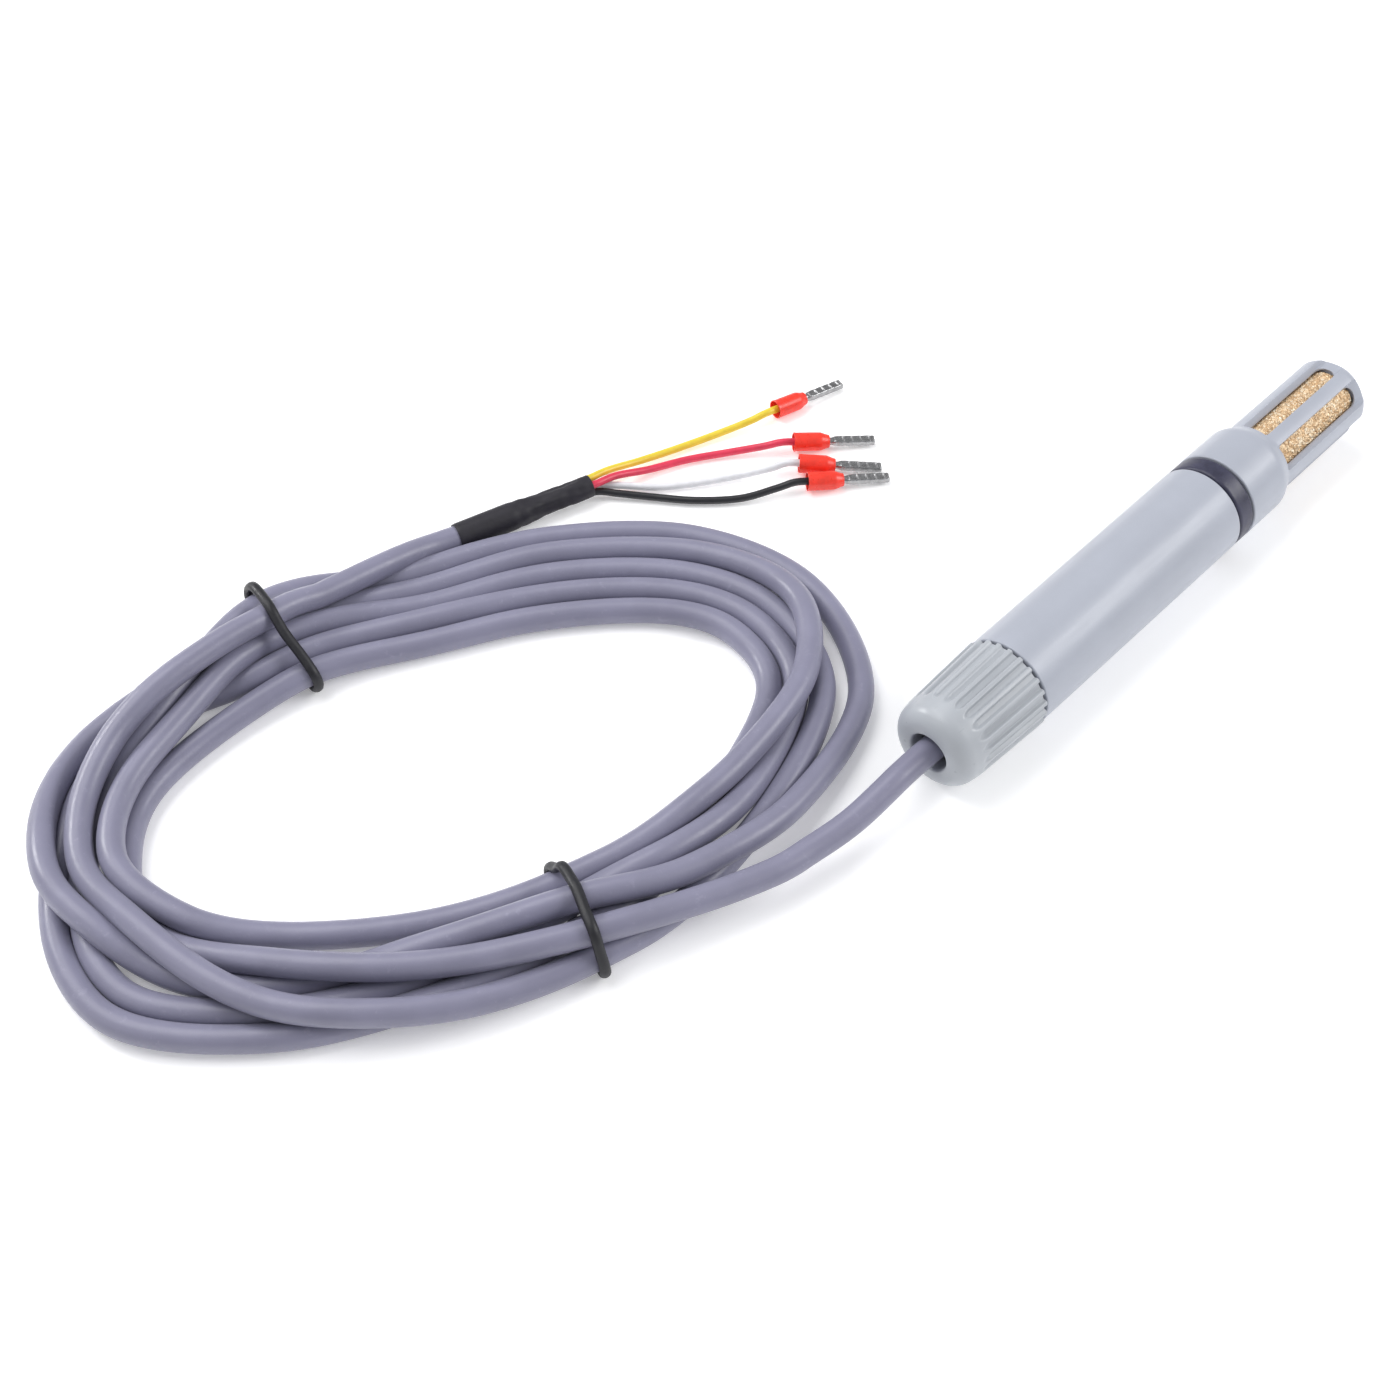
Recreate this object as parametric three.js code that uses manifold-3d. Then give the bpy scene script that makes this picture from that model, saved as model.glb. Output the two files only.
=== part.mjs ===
// Cable probe for soil or air moisture: a threaded tube holding a sensor board, a slotted cap over a
// sintered filter, a cable gland, and a lead wound in a tied coil with four ferruled wires.
// Millimetres, +Z up. The probe lies along X on the surface z = 0, cable end at -X, filter end at +X.
import * as THREE from 'three';
import { mergeVertices } from 'three/addons/utils/BufferGeometryUtils.js';
import Module from 'manifold-3d';

const wasm = await Module();
wasm.setup();

// ---- driving dimensions -----------------------------------------------------------------------
const GAP = 0.3;                      // air left between pieces that touch
const PROBE_LENGTH = 110;
const NUT_LENGTH = 18.6;
const NUT_RADIUS = 8.25;              // over the grip ribs at the back edge, the widest of the probe
const TUBE_LENGTH = 51;
const TUBE_RADIUS = 8;
const TUBE_BORE_RADIUS = 6.6;
const SEAL_WIDTH = 3.5;
const THREAD_PITCH = 1.5;
const THREAD_RIDGE = 0.42;            // radius of the rounded thread ridge
const THREAD_TURNS = 4;
const NECK_LENGTH = 9.4;
const NECK_RADIUS = 5.95;
const NECK_BORE_RADIUS = 4.8;
const CAP_BASE_LENGTH = 11.3;
const SHOULDER_LENGTH = 2.2;          // the cone from the cap's base down to its cage
const CAGE_RADIUS = 7;
const CAP_BORE_RADIUS = 5.3;
const CAGE_BORE_RADIUS = 5.65;
const WINDOW_COUNT = 6;
const WINDOW_TURN = 10.5;             // degrees that the first window is turned from +Z towards +Y
const FLUTE_WIDTH = 5.2;              // across the top of its sloping sides
const FLUTE_RADIUS = 5.8;             // flat floor of the flute that each window is cut in
const WINDOW_WIDTH = 3.6;
const WINDOW_LENGTH = 22;
const RIB_COUNT = 24;
const MOUTH_RADIUS = 3.3;
const CABLE_RADIUS = 2.1;
const WIRE_RADIUS = 0.65;
const FERRULE_LENGTH = 14.3;
const COLLAR_LENGTH = 6.3;
const ROUND = 40;                     // sides of the large turned pieces, a multiple of four
const SMALL_ROUND = 20;

// ---- stations along the probe axis ------------------------------------------------------------
const AXIS_Z = NUT_RADIUS;
const NOSE_X = -PROBE_LENGTH / 2;
const TIP_X = PROBE_LENGTH / 2;
const NUT_BACK_X = NOSE_X + NUT_LENGTH;
const TUBE_START_X = NUT_BACK_X + GAP;
const TUBE_END_X = TUBE_START_X + TUBE_LENGTH;
const SEAL_START_X = TUBE_END_X + GAP;
const CAP_START_X = SEAL_START_X + SEAL_WIDTH + GAP;
const SHOULDER_X = CAP_START_X + CAP_BASE_LENGTH;
const SPIGOT_X = CAP_START_X - 10;
const NECK_END_X = TUBE_START_X - NECK_LENGTH;
const STOP_START_X = TUBE_START_X - 2.9;
const STOP_END_X = TUBE_START_X + 3.6;
const BOARD_START_X = -26.5;
const BOARD_SHOULDER_X = 4.2;
const BOARD_TIP_X = 30;
const BOARD_HALF_THICKNESS = 0.6;

// ---- colours ----------------------------------------------------------------------------------
const HOUSING = { color: 0xb5bcc7, roughness: 0.45, metalness: 0 };
const NUT_GREY = { color: 0xafb4ba, roughness: 0.5, metalness: 0 };
const JACKET = { color: 0x9696af, roughness: 0.45, metalness: 0 };
const BLACK_RUBBER = { color: 0x2e2e3c, roughness: 0.6, metalness: 0 };
const SLEEVE_BLACK = { color: 0x2d2a34, roughness: 0.75, metalness: 0 };
const BRONZE = { color: 0xe1be8c, roughness: 0.6, metalness: 0.6 };
const WASHER_WHITE = { color: 0xe6e6e2, roughness: 0.4, metalness: 0 };
const BOARD_GREEN = { color: 0x1f6b3c, roughness: 0.4, metalness: 0 };
const CHIP_BLACK = { color: 0x1c1c1e, roughness: 0.5, metalness: 0 };
const CAPACITOR_TAN = { color: 0xb89a70, roughness: 0.5, metalness: 0 };
const TINNED = { color: 0xc9c9c6, roughness: 0.3, metalness: 1 };
const FERRULE_RED = { color: 0xf05041, roughness: 0.35, metalness: 0 };
const WIRE_COLOURS = { yellow: 0xe1c84b, red: 0xd7415a, white: 0xe1e1e6, black: 0x323234 };

// ---- solids from three.js geometry ------------------------------------------------------------
function toSolid(geometry) {
  const bare = geometry.clone();
  bare.deleteAttribute('normal');
  bare.deleteAttribute('uv');
  const merged = mergeVertices(bare, 1e-4);
  const index = merged.index.array;
  const kept = [];
  for (let i = 0; i < index.length; i += 3) {
    const [a, b, c] = [index[i], index[i + 1], index[i + 2]];
    if (a !== b && b !== c && c !== a) kept.push(a, b, c);
  }
  return new wasm.Manifold(new wasm.Mesh({
    numProp: 3,
    vertProperties: new Float32Array(merged.attributes.position.array),
    triVerts: new Uint32Array(kept),
  }));
}

function toGeometry(solid) {
  const { vertProperties, triVerts } = solid.getMesh();
  const geometry = new THREE.BufferGeometry();
  geometry.setAttribute('position', new THREE.BufferAttribute(new Float32Array(vertProperties), 3));
  geometry.setIndex(new THREE.BufferAttribute(new Uint32Array(triVerts), 1));
  geometry.computeVertexNormals();
  return geometry;
}

// A solid turned about X from [x, radius] pairs that run towards +X on the outside.
function turned(profile, sides = ROUND) {
  const points = profile.map(([x, radius]) => new THREE.Vector2(radius, x));
  return toSolid(new THREE.LatheGeometry(points, sides).rotateZ(-Math.PI / 2));
}

// A turned ring: the profile closes on itself.
function turnedRing(profile, sides = ROUND) {
  return turned([...profile, profile[0]], sides);
}

function bar(x0, x1, width, height, z = 0) {
  const geometry = new THREE.BoxGeometry(x1 - x0, width, height);
  return toSolid(geometry.translate((x0 + x1) / 2, 0, z));
}

function roundSection(radius, sides) {
  const corners = [];
  for (let i = 0; i < sides; i += 1) {
    const angle = (2 * Math.PI * i) / sides;
    corners.push(new THREE.Vector2(radius * Math.cos(angle), radius * Math.sin(angle)));
  }
  return new THREE.Shape(corners);
}

function tubeAlong(curve, radius, sides, steps) {
  const options = { steps, bevelEnabled: false, extrudePath: curve };
  return new THREE.ExtrudeGeometry(roundSection(radius, sides), options);
}

function cordTube(points, radius, sides, steps) {
  const curve = new THREE.CatmullRomCurve3(points.map((point) => new THREE.Vector3(...point)));
  return tubeAlong(curve, radius, sides, steps);
}

class Helix extends THREE.Curve {
  constructor(startX, radius) {
    super();
    this.startX = startX;
    this.radius = radius;
  }

  getPoint(t, target = new THREE.Vector3()) {
    const angle = 2 * Math.PI * THREAD_TURNS * t;
    const x = this.startX + THREAD_PITCH * THREAD_TURNS * t;
    return target.set(x, this.radius * Math.cos(angle), this.radius * Math.sin(angle));
  }
}

function threadRidge(startX, radius) {
  return toSolid(tubeAlong(new Helix(startX, radius), THREAD_RIDGE, 4, THREAD_TURNS * 14));
}

// ---- housing ----------------------------------------------------------------------------------
function probeTube() {
  const hole = CABLE_RADIUS + 2 * GAP;
  const body = turnedRing([
    [NECK_END_X, NECK_BORE_RADIUS], [NECK_END_X, NECK_RADIUS - 0.3], [NECK_END_X + 0.5, NECK_RADIUS],
    [TUBE_START_X, NECK_RADIUS], [TUBE_START_X, TUBE_RADIUS - 0.25],
    [TUBE_START_X + 0.25, TUBE_RADIUS], [TUBE_END_X - 0.25, TUBE_RADIUS],
    [TUBE_END_X, TUBE_RADIUS - 0.25], [TUBE_END_X, TUBE_BORE_RADIUS],
    [STOP_END_X, TUBE_BORE_RADIUS], [STOP_END_X, hole], [STOP_START_X, hole],
    [STOP_START_X, NECK_BORE_RADIUS],
  ]);
  return body.add(threadRidge(NECK_END_X + 0.9, NECK_RADIUS));
}

function glandNutBlank() {
  const boreEnd = NECK_END_X - 2 * GAP - 0.9;
  const noseRadius = 3;
  const outer = [];
  for (let step = 0; step <= 6; step += 1) {
    const angle = (Math.PI / 2) * (step / 6);
    outer.push([NOSE_X + noseRadius * (1 - Math.cos(angle)), 4.45 + noseRadius * Math.sin(angle)]);
  }
  return turnedRing([
    [NOSE_X + 0.5, MOUTH_RADIUS], [NOSE_X + 0.1, MOUTH_RADIUS + 0.2], ...outer,
    [NOSE_X + 4.6, 7.72], [NUT_BACK_X - 0.3, NUT_RADIUS],
    [NUT_BACK_X, NUT_RADIUS - 0.2], [NUT_BACK_X, 6.75],
    [boreEnd, 6.75], [boreEnd, 5], [NOSE_X + 2.8, MOUTH_RADIUS],
  ]);
}

// One flat-floored groove between two grip ribs. It follows the nut's taper.
function gripGroove(angle) {
  const length = NUT_LENGTH - 4.9;
  const groove = new THREE.BoxGeometry(length, 2, 1.25);
  groove.translate(-length / 2, 1, 0).rotateZ(0.039);
  groove.translate(NUT_BACK_X + 0.5, 7.68, 0).rotateX(angle);
  return toSolid(groove);
}

function glandNut() {
  let nut = glandNutBlank();
  for (let rib = 0; rib < RIB_COUNT; rib += 1) {
    nut = nut.subtract(gripGroove((2 * Math.PI * (rib + 0.5)) / RIB_COUNT));
  }
  return nut;
}

function slipWasher() {
  const front = NECK_END_X - GAP - 0.9;
  const back = NECK_END_X - GAP;
  return turnedRing([[front, 4.9], [front, 6.4], [back, 6.4], [back, 4.9]], SMALL_ROUND);
}

function glandSeal() {
  const bore = CABLE_RADIUS + GAP;
  const front = NOSE_X + 3.1;
  const back = STOP_START_X - GAP;
  return turnedRing([
    [front, bore], [front, 2.9], [NECK_END_X - 1.5, 4.5], [back, 4.5], [back, bore],
  ], SMALL_ROUND);
}

function sealRing() {
  const inner = NECK_RADIUS + THREAD_RIDGE + GAP + 0.1;
  const end = SEAL_START_X + SEAL_WIDTH;
  return turnedRing([
    [SEAL_START_X, inner], [SEAL_START_X, TUBE_RADIUS - 0.35], [SEAL_START_X + 0.35, TUBE_RADIUS - 0.05],
    [end - 0.35, TUBE_RADIUS - 0.05], [end, TUBE_RADIUS - 0.35], [end, inner],
  ]);
}

// ---- filter cap -------------------------------------------------------------------------------
function capBlank() {
  const corner = 2.6;
  const dome = [];
  for (let step = 0; step <= 5; step += 1) {
    const angle = (Math.PI / 2) * (step / 5);
    dome.push([TIP_X - corner + corner * Math.sin(angle), CAGE_RADIUS - corner * (1 - Math.cos(angle))]);
  }
  return turned([
    [TIP_X - 2.2, 0], [TIP_X - 2.2, CAGE_BORE_RADIUS], [SHOULDER_X - 0.9, CAGE_BORE_RADIUS],
    [SHOULDER_X - 0.9, CAP_BORE_RADIUS], [SPIGOT_X, CAP_BORE_RADIUS],
    [SPIGOT_X, NECK_RADIUS], [CAP_START_X, NECK_RADIUS], [CAP_START_X, TUBE_RADIUS - 0.25],
    [CAP_START_X + 0.25, TUBE_RADIUS], [SHOULDER_X - SHOULDER_LENGTH, TUBE_RADIUS],
    [SHOULDER_X, CAGE_RADIUS], ...dome, [TIP_X, 0],
  ]);
}

// The cut for one window: a flute with sloping sides out to the tip, and a round-ended slot
// through its floor.
function windowCut(angle) {
  const start = SHOULDER_X + 0.1;
  const top = 9;
  const spread = (FLUTE_WIDTH - WINDOW_WIDTH) / 2 / (CAGE_RADIUS - FLUTE_RADIUS);
  const halfTop = WINDOW_WIDTH / 2 + (top - FLUTE_RADIUS) * spread;
  const section = new THREE.Shape([
    new THREE.Vector2(-WINDOW_WIDTH / 2, FLUTE_RADIUS), new THREE.Vector2(WINDOW_WIDTH / 2, FLUTE_RADIUS),
    new THREE.Vector2(halfTop, top), new THREE.Vector2(-halfTop, top),
  ]);
  const flute = new THREE.ExtrudeGeometry(section, { depth: TIP_X + 1 - start, bevelEnabled: false });
  flute.rotateY(Math.PI / 2).translate(start, 0, 0);
  const radius = WINDOW_WIDTH / 2;
  const middle = SHOULDER_X + 0.3 + WINDOW_LENGTH / 2;
  let slot = bar(middle - WINDOW_LENGTH / 2 + radius, middle + WINDOW_LENGTH / 2 - radius, 6, WINDOW_WIDTH);
  for (const side of [-1, 1]) {
    const end = new THREE.CylinderGeometry(radius, radius, 6, 16);
    slot = slot.add(toSolid(end.translate(middle + side * (WINDOW_LENGTH / 2 - radius), 0, 0)));
  }
  slot = toSolid(toGeometry(slot).translate(0, CAP_BORE_RADIUS + 1.5, 0).rotateX(angle));
  return toSolid(flute.rotateX(angle)).add(slot);
}

function filterCap() {
  let cap = capBlank().add(threadRidge(SPIGOT_X + 0.9, NECK_RADIUS));
  for (let slot = 0; slot < WINDOW_COUNT; slot += 1) {
    const angle = 90 - WINDOW_TURN + (360 * slot) / WINDOW_COUNT;
    cap = cap.subtract(windowCut(THREE.MathUtils.degToRad(angle)));
  }
  return cap;
}

function sinteredFilter() {
  const wall = 1.4;
  const stem = CAP_BORE_RADIUS - GAP;
  const outer = CAGE_BORE_RADIUS - GAP;
  const end = TIP_X - 2.2 - GAP;
  const start = CAP_START_X + 0.5;
  const step = SHOULDER_X - 0.9 + GAP;
  return turned([
    [end - wall, 0], [end - wall, stem - wall], [start, stem - wall], [start, stem], [step, stem],
    [step, outer], [end - 0.8, outer], [end, outer - 0.8], [end, 0],
  ], 32);
}

// ---- electronics ------------------------------------------------------------------------------
function sensorBoard() {
  const wide = bar(BOARD_START_X, BOARD_SHOULDER_X, 10.5, 2 * BOARD_HALF_THICKNESS);
  return wide.add(bar(BOARD_SHOULDER_X - 1, BOARD_TIP_X, 5, 2 * BOARD_HALF_THICKNESS));
}

function boardHolder() {
  const start = BOARD_SHOULDER_X + GAP;
  const disc = turned([[start, 0], [start, 6.3], [start + 2, 6.3], [start + 2, 0]], SMALL_ROUND);
  return disc.subtract(bar(start - 1, start + 3, 5 + 2 * GAP, 2 * (BOARD_HALF_THICKNESS + GAP)));
}

function chip(x, length, width, height) {
  const base = BOARD_HALF_THICKNESS + GAP;
  return bar(x - length / 2, x + length / 2, width, height, base + height / 2);
}

function cableClamp() {
  const inner = CABLE_RADIUS + GAP;
  const start = STOP_END_X + GAP;
  return turnedRing([
    [start, inner], [start, 3.7], [start + 2.6, 3.7], [start + 2.6, inner],
  ], SMALL_ROUND);
}

const BOARD_WIRES = [['yellow', 1, 1], ['red', -1, 1], ['white', 1, -1], ['black', -1, -1]];

// A wire from the end of the cable jacket to its pad, on the board's upper or lower face.
function boardWire(sideY, sideZ) {
  const route = [[-29, 0.8, 0.8], [-27.3, 1.2, 1.3], [-25.2, 1.7, 1.55], [-23, 1.8, 1.55]];
  return cordTube(route.map(([x, y, z]) => [x, sideY * y, sideZ * z]), 0.5, 8, 6);
}

// ---- lead, coil and tail ----------------------------------------------------------------------
const LEAD_ROUTE = [
  [-29.3, 0, AXIS_Z], [-36, 0, AXIS_Z], [-44, 0, AXIS_Z], [-51, 0.05, 8.2], [-55, 0.3, 8],
  [-58.5, 0.5, 7.7], [-63, 0.55, 7.35], [-71, 1, 6.7], [-79, 2.4, 6.3], [-85, 3.6, 6.3],
];
const TAIL_ROUTE = [[-75.2, 90, 3], [-72.6, 89.35, 2.65], [-70.3, 88.7, 2.45]];

// The middle line of the coil, clockwise from the lower tie as seen from above.
const COIL_OUTLINE = [
  [-109.5, 19.5], [-129, 28.5], [-146, 41.5], [-156.5, 58], [-154, 77], [-136, 89], [-105.5, 91],
  [-83, 82], [-65, 70.5], [-50, 55.5], [-45.5, 39.5], [-53.5, 24], [-74, 16.5], [-93, 15.5],
];
const COIL_HALF_WIDTH = 8;
const COIL_HEIGHT = 9.6;
const LOWER_TIE = 0;                  // place of each tie as an outline point
const UPPER_TIE = 6;
const TIE_THICKNESS = 1.3;
const TIE_WIDTH = 1.7;
const coilCurve = new THREE.CatmullRomCurve3(COIL_OUTLINE.map(([x, y]) => new THREE.Vector3(x, y, 0)), true);

function coilSide(offset) {
  const points = [];
  const count = 3 * COIL_OUTLINE.length;
  for (let i = 0; i < count; i += 1) {
    const middle = coilCurve.getPoint(i / count);
    const along = coilCurve.getTangent(i / count);
    points.push(new THREE.Vector2(middle.x + offset * along.y, middle.y - offset * along.x));
  }
  return points;
}

// Where a tie sits, and the turn about Z that brings X along the cable there.
function tiePlace(outlineIndex) {
  const t = outlineIndex / COIL_OUTLINE.length;
  const along = coilCurve.getTangent(t);
  return { middle: coilCurve.getPoint(t), turn: Math.atan2(along.y, along.x) };
}

function cableCoil() {
  const shape = new THREE.Shape(coilSide(-COIL_HALF_WIDTH).reverse());
  shape.holes.push(new THREE.Path(coilSide(COIL_HALF_WIDTH)));
  let coil = toSolid(new THREE.ExtrudeGeometry(shape, { depth: COIL_HEIGHT, bevelEnabled: false }));
  for (const outlineIndex of [LOWER_TIE, UPPER_TIE]) {
    const { middle, turn } = tiePlace(outlineIndex);
    const notch = new THREE.BoxGeometry(TIE_WIDTH + 2 * GAP, 4 * COIL_HALF_WIDTH, 2 * (TIE_THICKNESS + GAP));
    coil = coil.subtract(toSolid(notch.rotateZ(turn).translate(middle.x, middle.y, 0)));
  }
  return coil;
}

function ovalPath(Kind, halfWidth, bottom, top, corner) {
  const path = new Kind();
  const side = halfWidth - corner;
  path.moveTo(-side, bottom);
  path.lineTo(side, bottom);
  path.absarc(side, bottom + corner, corner, -Math.PI / 2, 0, false);
  path.absarc(side, top - corner, corner, 0, Math.PI / 2, false);
  path.absarc(-side, top - corner, corner, Math.PI / 2, Math.PI, false);
  path.absarc(-side, bottom + corner, corner, Math.PI, 1.5 * Math.PI, false);
  return path;
}

// A rubber loop round the whole bundle, its lowest run lying on the surface.
function tie(outlineIndex) {
  const inner = COIL_HALF_WIDTH + GAP;
  const top = COIL_HEIGHT + GAP;
  const shape = ovalPath(THREE.Shape, inner + TIE_THICKNESS, 0, top + TIE_THICKNESS, 1.8);
  shape.holes.push(ovalPath(THREE.Path, inner, TIE_THICKNESS, top, 0.6));
  const geometry = new THREE.ExtrudeGeometry(shape, { depth: TIE_WIDTH, bevelEnabled: false, curveSegments: 4 });
  const { middle, turn } = tiePlace(outlineIndex);
  geometry.translate(0, 0, -TIE_WIDTH / 2).rotateX(Math.PI / 2).rotateZ(turn + Math.PI / 2);
  return toSolid(geometry.translate(middle.x, middle.y, 0));
}

// ---- sleeve, wires and ferrules ---------------------------------------------------------------
const SLEEVE = { start: [-70, 88.6], end: [-46, 81.2], z: 2.45 };

function heatShrink() {
  const [dx, dy] = [SLEEVE.end[0] - SLEEVE.start[0], SLEEVE.end[1] - SLEEVE.start[1]];
  const length = Math.hypot(dx, dy);
  const sleeve = turned([
    [0, 0], [0, 2.3], [0.6, 2.4], [11, 2.35], [14.5, 1.75], [20, 1.65], [length, 2], [length, 0],
  ], SMALL_ROUND);
  const geometry = toGeometry(sleeve).rotateZ(Math.atan2(dy, dx));
  return toSolid(geometry.translate(SLEEVE.start[0], SLEEVE.start[1], SLEEVE.z));
}

const FERRULE_PITCH = 4.5 * (Math.PI / 180);  // a ferrule rests on its collar's rim and its pin's end
const FERRULE_Z = 1.95;
const WIRES = {
  yellow: {
    route: [[-45, 82, 3.1], [-41, 81.6, 2.4], [-35, 80.2, 1.2], [-28, 77.9, 0.8], [-21, 75.4, 0.9], [-15, 73, 1.5]],
    mouth: [-10, 71.4],
    heading: -13,
  },
  red: {
    route: [[-45.4, 80.3, 3.1], [-41.2, 79.6, 2.5], [-35.5, 77.6, 1.2], [-29, 74.8, 0.8], [-23, 70.9, 0.9], [-18, 67, 1.5]],
    mouth: [-13.9, 63.6],
    heading: -40,
  },
  white: {
    route: [[-45.1, 81.9, 1.4], [-41.4, 78.4, 1.1], [-37, 73.6, 0.8], [-31.6, 69.4, 0.8], [-26, 65.8, 0.9], [-21, 62.4, 1.5]],
    mouth: [-17.2, 59.4],
    heading: -46,
  },
  black: {
    route: [[-45.6, 80.2, 1.4], [-43, 77.2, 1.1], [-39.4, 72.6, 0.8], [-35, 66.8, 0.8], [-29.5, 61.6, 0.9], [-24, 58.4, 1.5]],
    mouth: [-19.5, 55.4],
    heading: -38,
  },
};

function placeFerrule(object, { mouth, heading }) {
  object.position.set(mouth[0], mouth[1], FERRULE_Z);
  object.rotation.set(0, FERRULE_PITCH, THREE.MathUtils.degToRad(heading), 'ZYX');
  object.updateMatrixWorld();
  return object;
}

function ferruleCollar() {
  return turnedRing([
    [0, 1.45], [0, 1.68], [4.9, 1.6], [6, 1.2], [COLLAR_LENGTH, 1.15], [COLLAR_LENGTH, 0.98], [4, 0.98],
  ], 12);
}

// The pin: round inside the collar, pressed flat above and below where it is crimped.
function ferrulePin() {
  const start = 4.7;
  const press = COLLAR_LENGTH + 0.5;
  const round = turned([
    [start, 0], [start, 0.66], [press, 0.66], [press + 0.4, 0.85], [FERRULE_LENGTH - 0.3, 0.85],
    [FERRULE_LENGTH, 0.6], [FERRULE_LENGTH, 0],
  ], 12);
  return round.intersect(bar(start - 1, FERRULE_LENGTH + 1, 3, 1.2));
}

// The wire ends inside its collar, on the ferrule's own line.
function conductor(wire) {
  const onAxis = (distance) => {
    const anchor = placeFerrule(new THREE.Object3D(), wire);
    return anchor.localToWorld(new THREE.Vector3(distance, 0, 0)).toArray();
  };
  return cordTube([...wire.route, onAxis(-2), onAxis(1.5), onAxis(4.3)], WIRE_RADIUS, 8, 16);
}

// ---- assembly ---------------------------------------------------------------------------------
const assembly = new THREE.Group();
const probe = new THREE.Group();
probe.position.z = AXIS_Z;
assembly.add(probe);

function piece(parent, name, shape, finish) {
  const geometry = shape.isBufferGeometry ? shape : toGeometry(shape);
  const mesh = new THREE.Mesh(geometry, new THREE.MeshStandardMaterial(finish));
  mesh.name = name;
  parent.add(mesh);
  return mesh;
}

piece(probe, 'probe_tube', probeTube(), HOUSING);
piece(probe, 'gland_nut', glandNut(), NUT_GREY);
piece(probe, 'slip_washer', slipWasher(), WASHER_WHITE);
piece(probe, 'gland_seal', glandSeal(), BLACK_RUBBER);
piece(probe, 'seal_ring', sealRing(), BLACK_RUBBER);
piece(probe, 'filter_cap', filterCap(), HOUSING);
piece(probe, 'sintered_filter', sinteredFilter(), BRONZE);
piece(probe, 'sensor_board', sensorBoard(), BOARD_GREEN);
piece(probe, 'board_holder', boardHolder(), WASHER_WHITE);
piece(probe, 'cable_clamp', cableClamp(), TINNED);
piece(probe, 'humidity_sensor', chip(27, 3, 3, 1.1), CHIP_BLACK);
piece(probe, 'microcontroller', chip(-9, 5, 5, 0.9), CHIP_BLACK);
piece(probe, 'voltage_regulator', chip(-17.5, 3, 2.4, 1.3), CHIP_BLACK);
piece(probe, 'capacitor_1', chip(-13.6, 1.2, 2, 0.9), CAPACITOR_TAN);
piece(probe, 'capacitor_2', chip(-4, 1.2, 2, 0.9), CAPACITOR_TAN);
for (const [colour, sideY, sideZ] of BOARD_WIRES) {
  const finish = { color: WIRE_COLOURS[colour], roughness: 0.4, metalness: 0 };
  piece(probe, `board_wire_${colour}`, boardWire(sideY, sideZ), finish);
}

piece(assembly, 'cable_lead', cordTube(LEAD_ROUTE, CABLE_RADIUS, 12, 14), JACKET);
piece(assembly, 'cable_coil', cableCoil(), JACKET);
piece(assembly, 'cable_tail', cordTube(TAIL_ROUTE, CABLE_RADIUS, 12, 2), JACKET);
piece(assembly, 'tie_lower', tie(LOWER_TIE), BLACK_RUBBER);
piece(assembly, 'tie_upper', tie(UPPER_TIE), BLACK_RUBBER);
piece(assembly, 'heat_shrink', heatShrink(), SLEEVE_BLACK);
for (const [colour, wire] of Object.entries(WIRES)) {
  const finish = { color: WIRE_COLOURS[colour], roughness: 0.4, metalness: 0 };
  piece(assembly, `conductor_${colour}`, conductor(wire), finish);
  placeFerrule(piece(assembly, `ferrule_collar_${colour}`, ferruleCollar(), FERRULE_RED), wire);
  placeFerrule(piece(assembly, `ferrule_pin_${colour}`, ferrulePin(), TINNED), wire);
}

export default assembly;
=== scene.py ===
# Looks of the cable probe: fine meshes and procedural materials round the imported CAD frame.
import math

import bmesh
import bpy
import numpy as np
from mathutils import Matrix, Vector
from mathutils.kdtree import KDTree


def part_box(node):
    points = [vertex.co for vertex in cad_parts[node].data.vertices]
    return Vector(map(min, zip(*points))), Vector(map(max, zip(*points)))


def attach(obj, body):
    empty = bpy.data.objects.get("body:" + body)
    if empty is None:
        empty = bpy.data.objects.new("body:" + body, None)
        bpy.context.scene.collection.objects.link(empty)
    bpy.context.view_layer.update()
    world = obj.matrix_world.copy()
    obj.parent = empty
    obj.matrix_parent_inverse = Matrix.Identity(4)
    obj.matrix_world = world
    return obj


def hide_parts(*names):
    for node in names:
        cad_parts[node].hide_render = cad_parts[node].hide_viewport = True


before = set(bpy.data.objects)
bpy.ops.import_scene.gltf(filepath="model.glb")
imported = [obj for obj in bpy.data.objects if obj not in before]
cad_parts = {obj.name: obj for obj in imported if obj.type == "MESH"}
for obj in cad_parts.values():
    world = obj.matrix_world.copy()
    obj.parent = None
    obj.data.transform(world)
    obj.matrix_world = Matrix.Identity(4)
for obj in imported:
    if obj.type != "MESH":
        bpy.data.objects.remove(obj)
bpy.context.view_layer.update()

MM = 0.001

# ---- driving dimensions, in millimetres ----


def span(node):
    """Lowest and highest corner of a CAD node, in millimetres."""
    low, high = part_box(node)
    return np.array(low) / MM, np.array(high) / MM


NUT_LOW, NUT_HIGH = span("gland_nut")
TUBE_LOW, TUBE_HIGH = span("probe_tube")
CAP_LOW, CAP_HIGH = span("filter_cap")
RING_LOW, RING_HIGH = span("seal_ring")
AXIS_Z = (NUT_LOW[2] + NUT_HIGH[2]) / 2
NOSE_X = NUT_LOW[0]
NUT_BACK_X = NUT_HIGH[0]
NUT_RADIUS = AXIS_Z
NUT_BORE_RADIUS = 6.75
NOSE_FACE_RADIUS = 4.45
NOSE_ROUNDING = 3
NECK_END_X = TUBE_LOW[0]
TUBE_START_X = NUT_BACK_X + 0.3
TUBE_END_X = TUBE_HIGH[0]
TUBE_RADIUS = 8
TUBE_BORE_RADIUS = 6.6
NECK_RADIUS = 5.95
NECK_BORE_RADIUS = 4.8
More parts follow.
